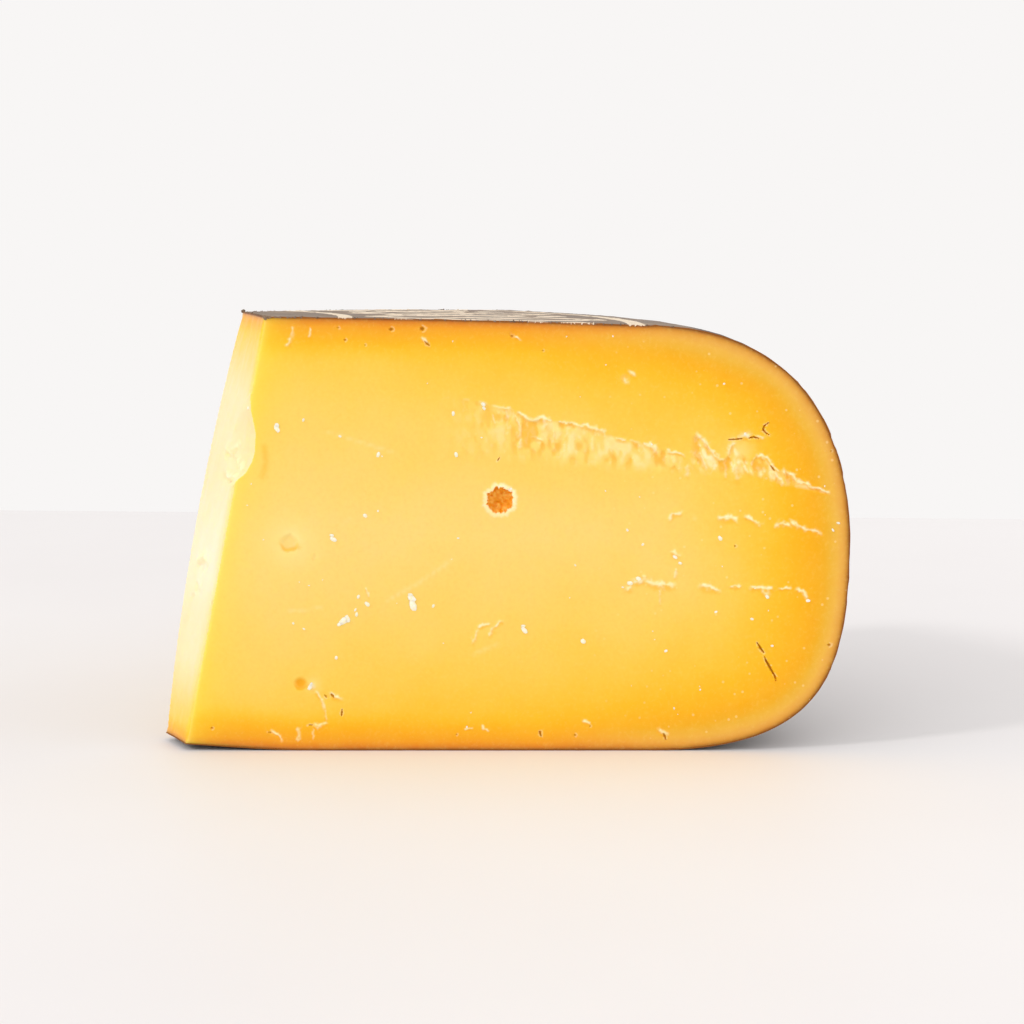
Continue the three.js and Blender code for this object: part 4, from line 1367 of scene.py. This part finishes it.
# The plain floor, the light and the camera.
stage = {
    "floor": ("#e6e3e3", "#eae8e8"),
    "wall": "#f8f6f5",
    "wallStrength": 1.0,
    "floorFar": 0.49,        # how far behind the wedge's front cut the floor ends, in metres
    "floorTurn": -4.0,       # degrees
    "floorReach": 1.6,       # how far it reaches the other ways, in metres
}
studio = {
    "keyColour": (1, 0.99, 0.975),
    "keyTurn": 31,           # degrees from +X towards +Y that its light travels
    "keyHeight": 36,         # degrees above the floor
    "keyStrength": 0.7,
    "keySize": 9,            # degrees across
    "boxes": [   # name, strength and place: right of the middle, behind the front cut and up, in metres
        ("softbox", 1.8, (-0.3, -1.2, 0.7)), ("fill", 2.6, (1.2, 0.1, 0.45)),
    ],
    "boxSize": (1.2, 0.8),
}
view = {
    "right": 0.0023,         # metres from the middle of the wedge
    "back": 0.6,             # metres in front of the front cut
    "height": 0.137,
    "tilt": 7.096,           # degrees downwards
    "focal": 83.04,
}


def makeFloor():
    reach = stage["floorReach"]
    far = coatLow.y + stage["floorFar"]
    rise = reach * math.tan(math.radians(stage["floorTurn"]))
    corners = [(-reach, -reach, 0), (reach, -reach, 0), (reach, far + rise, 0), (-reach, far - rise, 0)]
    mesh = bpy.data.meshes.new("floor")
    mesh.from_pydata(corners, [], [(0, 1, 2, 3)])
    floor = bpy.data.objects.new("floor", mesh)
    bpy.context.scene.collection.objects.link(floor)
    # plain pale stone, honed: matt, with clouds too soft to be noticed
    material, add, place = newMaterial("honedStoneFloor")
    cloud = add("ShaderNodeTexNoise", {"Vector": place, "Scale": 3, "Detail": 5})
    base = add("ShaderNodeValToRGB", {"Fac": cloud}, stops=list(zip((0.35, 0.65), stage["floor"])))
    shader = add("ShaderNodeBsdfPrincipled", {"Base Color": base, "Roughness": 0.55,
                                              "Specular IOR Level": 0.2})
    add("ShaderNodeOutputMaterial", {"Surface": shader})
    mesh.materials.append(material)


def makeLight():
    world = bpy.data.worlds.new("studio")
    world.use_nodes = True
    background = world.node_tree.nodes["Background"]
    background.inputs["Color"].default_value = linearColour(stage["wall"])
    background.inputs["Strength"].default_value = stage["wallStrength"]
    bpy.context.scene.world = world

    key = bpy.data.lights.new("key", "SUN")
    key.energy = studio["keyStrength"]
    key.angle = math.radians(studio["keySize"])
    key.color = studio["keyColour"]
    lamp = bpy.data.objects.new("key", key)
    turn, height = math.radians(studio["keyTurn"]), math.radians(studio["keyHeight"])
    flat = math.cos(height)
    travel = Vector((math.cos(turn) * flat, math.sin(turn) * flat, -math.sin(height)))
    lamp.rotation_euler = travel.to_track_quat("-Z", "Y").to_euler()
    bpy.context.scene.collection.objects.link(lamp)

    for name, strength, (right, back, up) in studio["boxes"]:
        box = bpy.data.lights.new(name, "AREA")
        box.energy = strength
        box.shape = "RECTANGLE"
        box.size, box.size_y = studio["boxSize"]
        lamp = bpy.data.objects.new(name, box)
        lamp.location = (right, coatLow.y + back, up)
        aim = Vector((0, coatLow.y, 0.05)) - lamp.location
        lamp.rotation_euler = aim.to_track_quat("-Z", "Y").to_euler()
        bpy.context.scene.collection.objects.link(lamp)


def makeCamera():
    lens = bpy.data.cameras.new("camera")
    lens.lens = view["focal"]
    lens.sensor_width = 36
    camera = bpy.data.objects.new("camera", lens)
    middle = (coatLow.x + coatHigh.x) / 2
    camera.location = (middle + view["right"], coatLow.y - view["back"], view["height"])
    camera.rotation_euler = (math.radians(90 - view["tilt"]), 0, 0)
    bpy.context.scene.collection.objects.link(camera)
    bpy.context.scene.camera = camera


makeFloor()
makeLight()
makeCamera()
bpy.context.scene.view_settings.view_transform = "Standard"
print("stage ready")
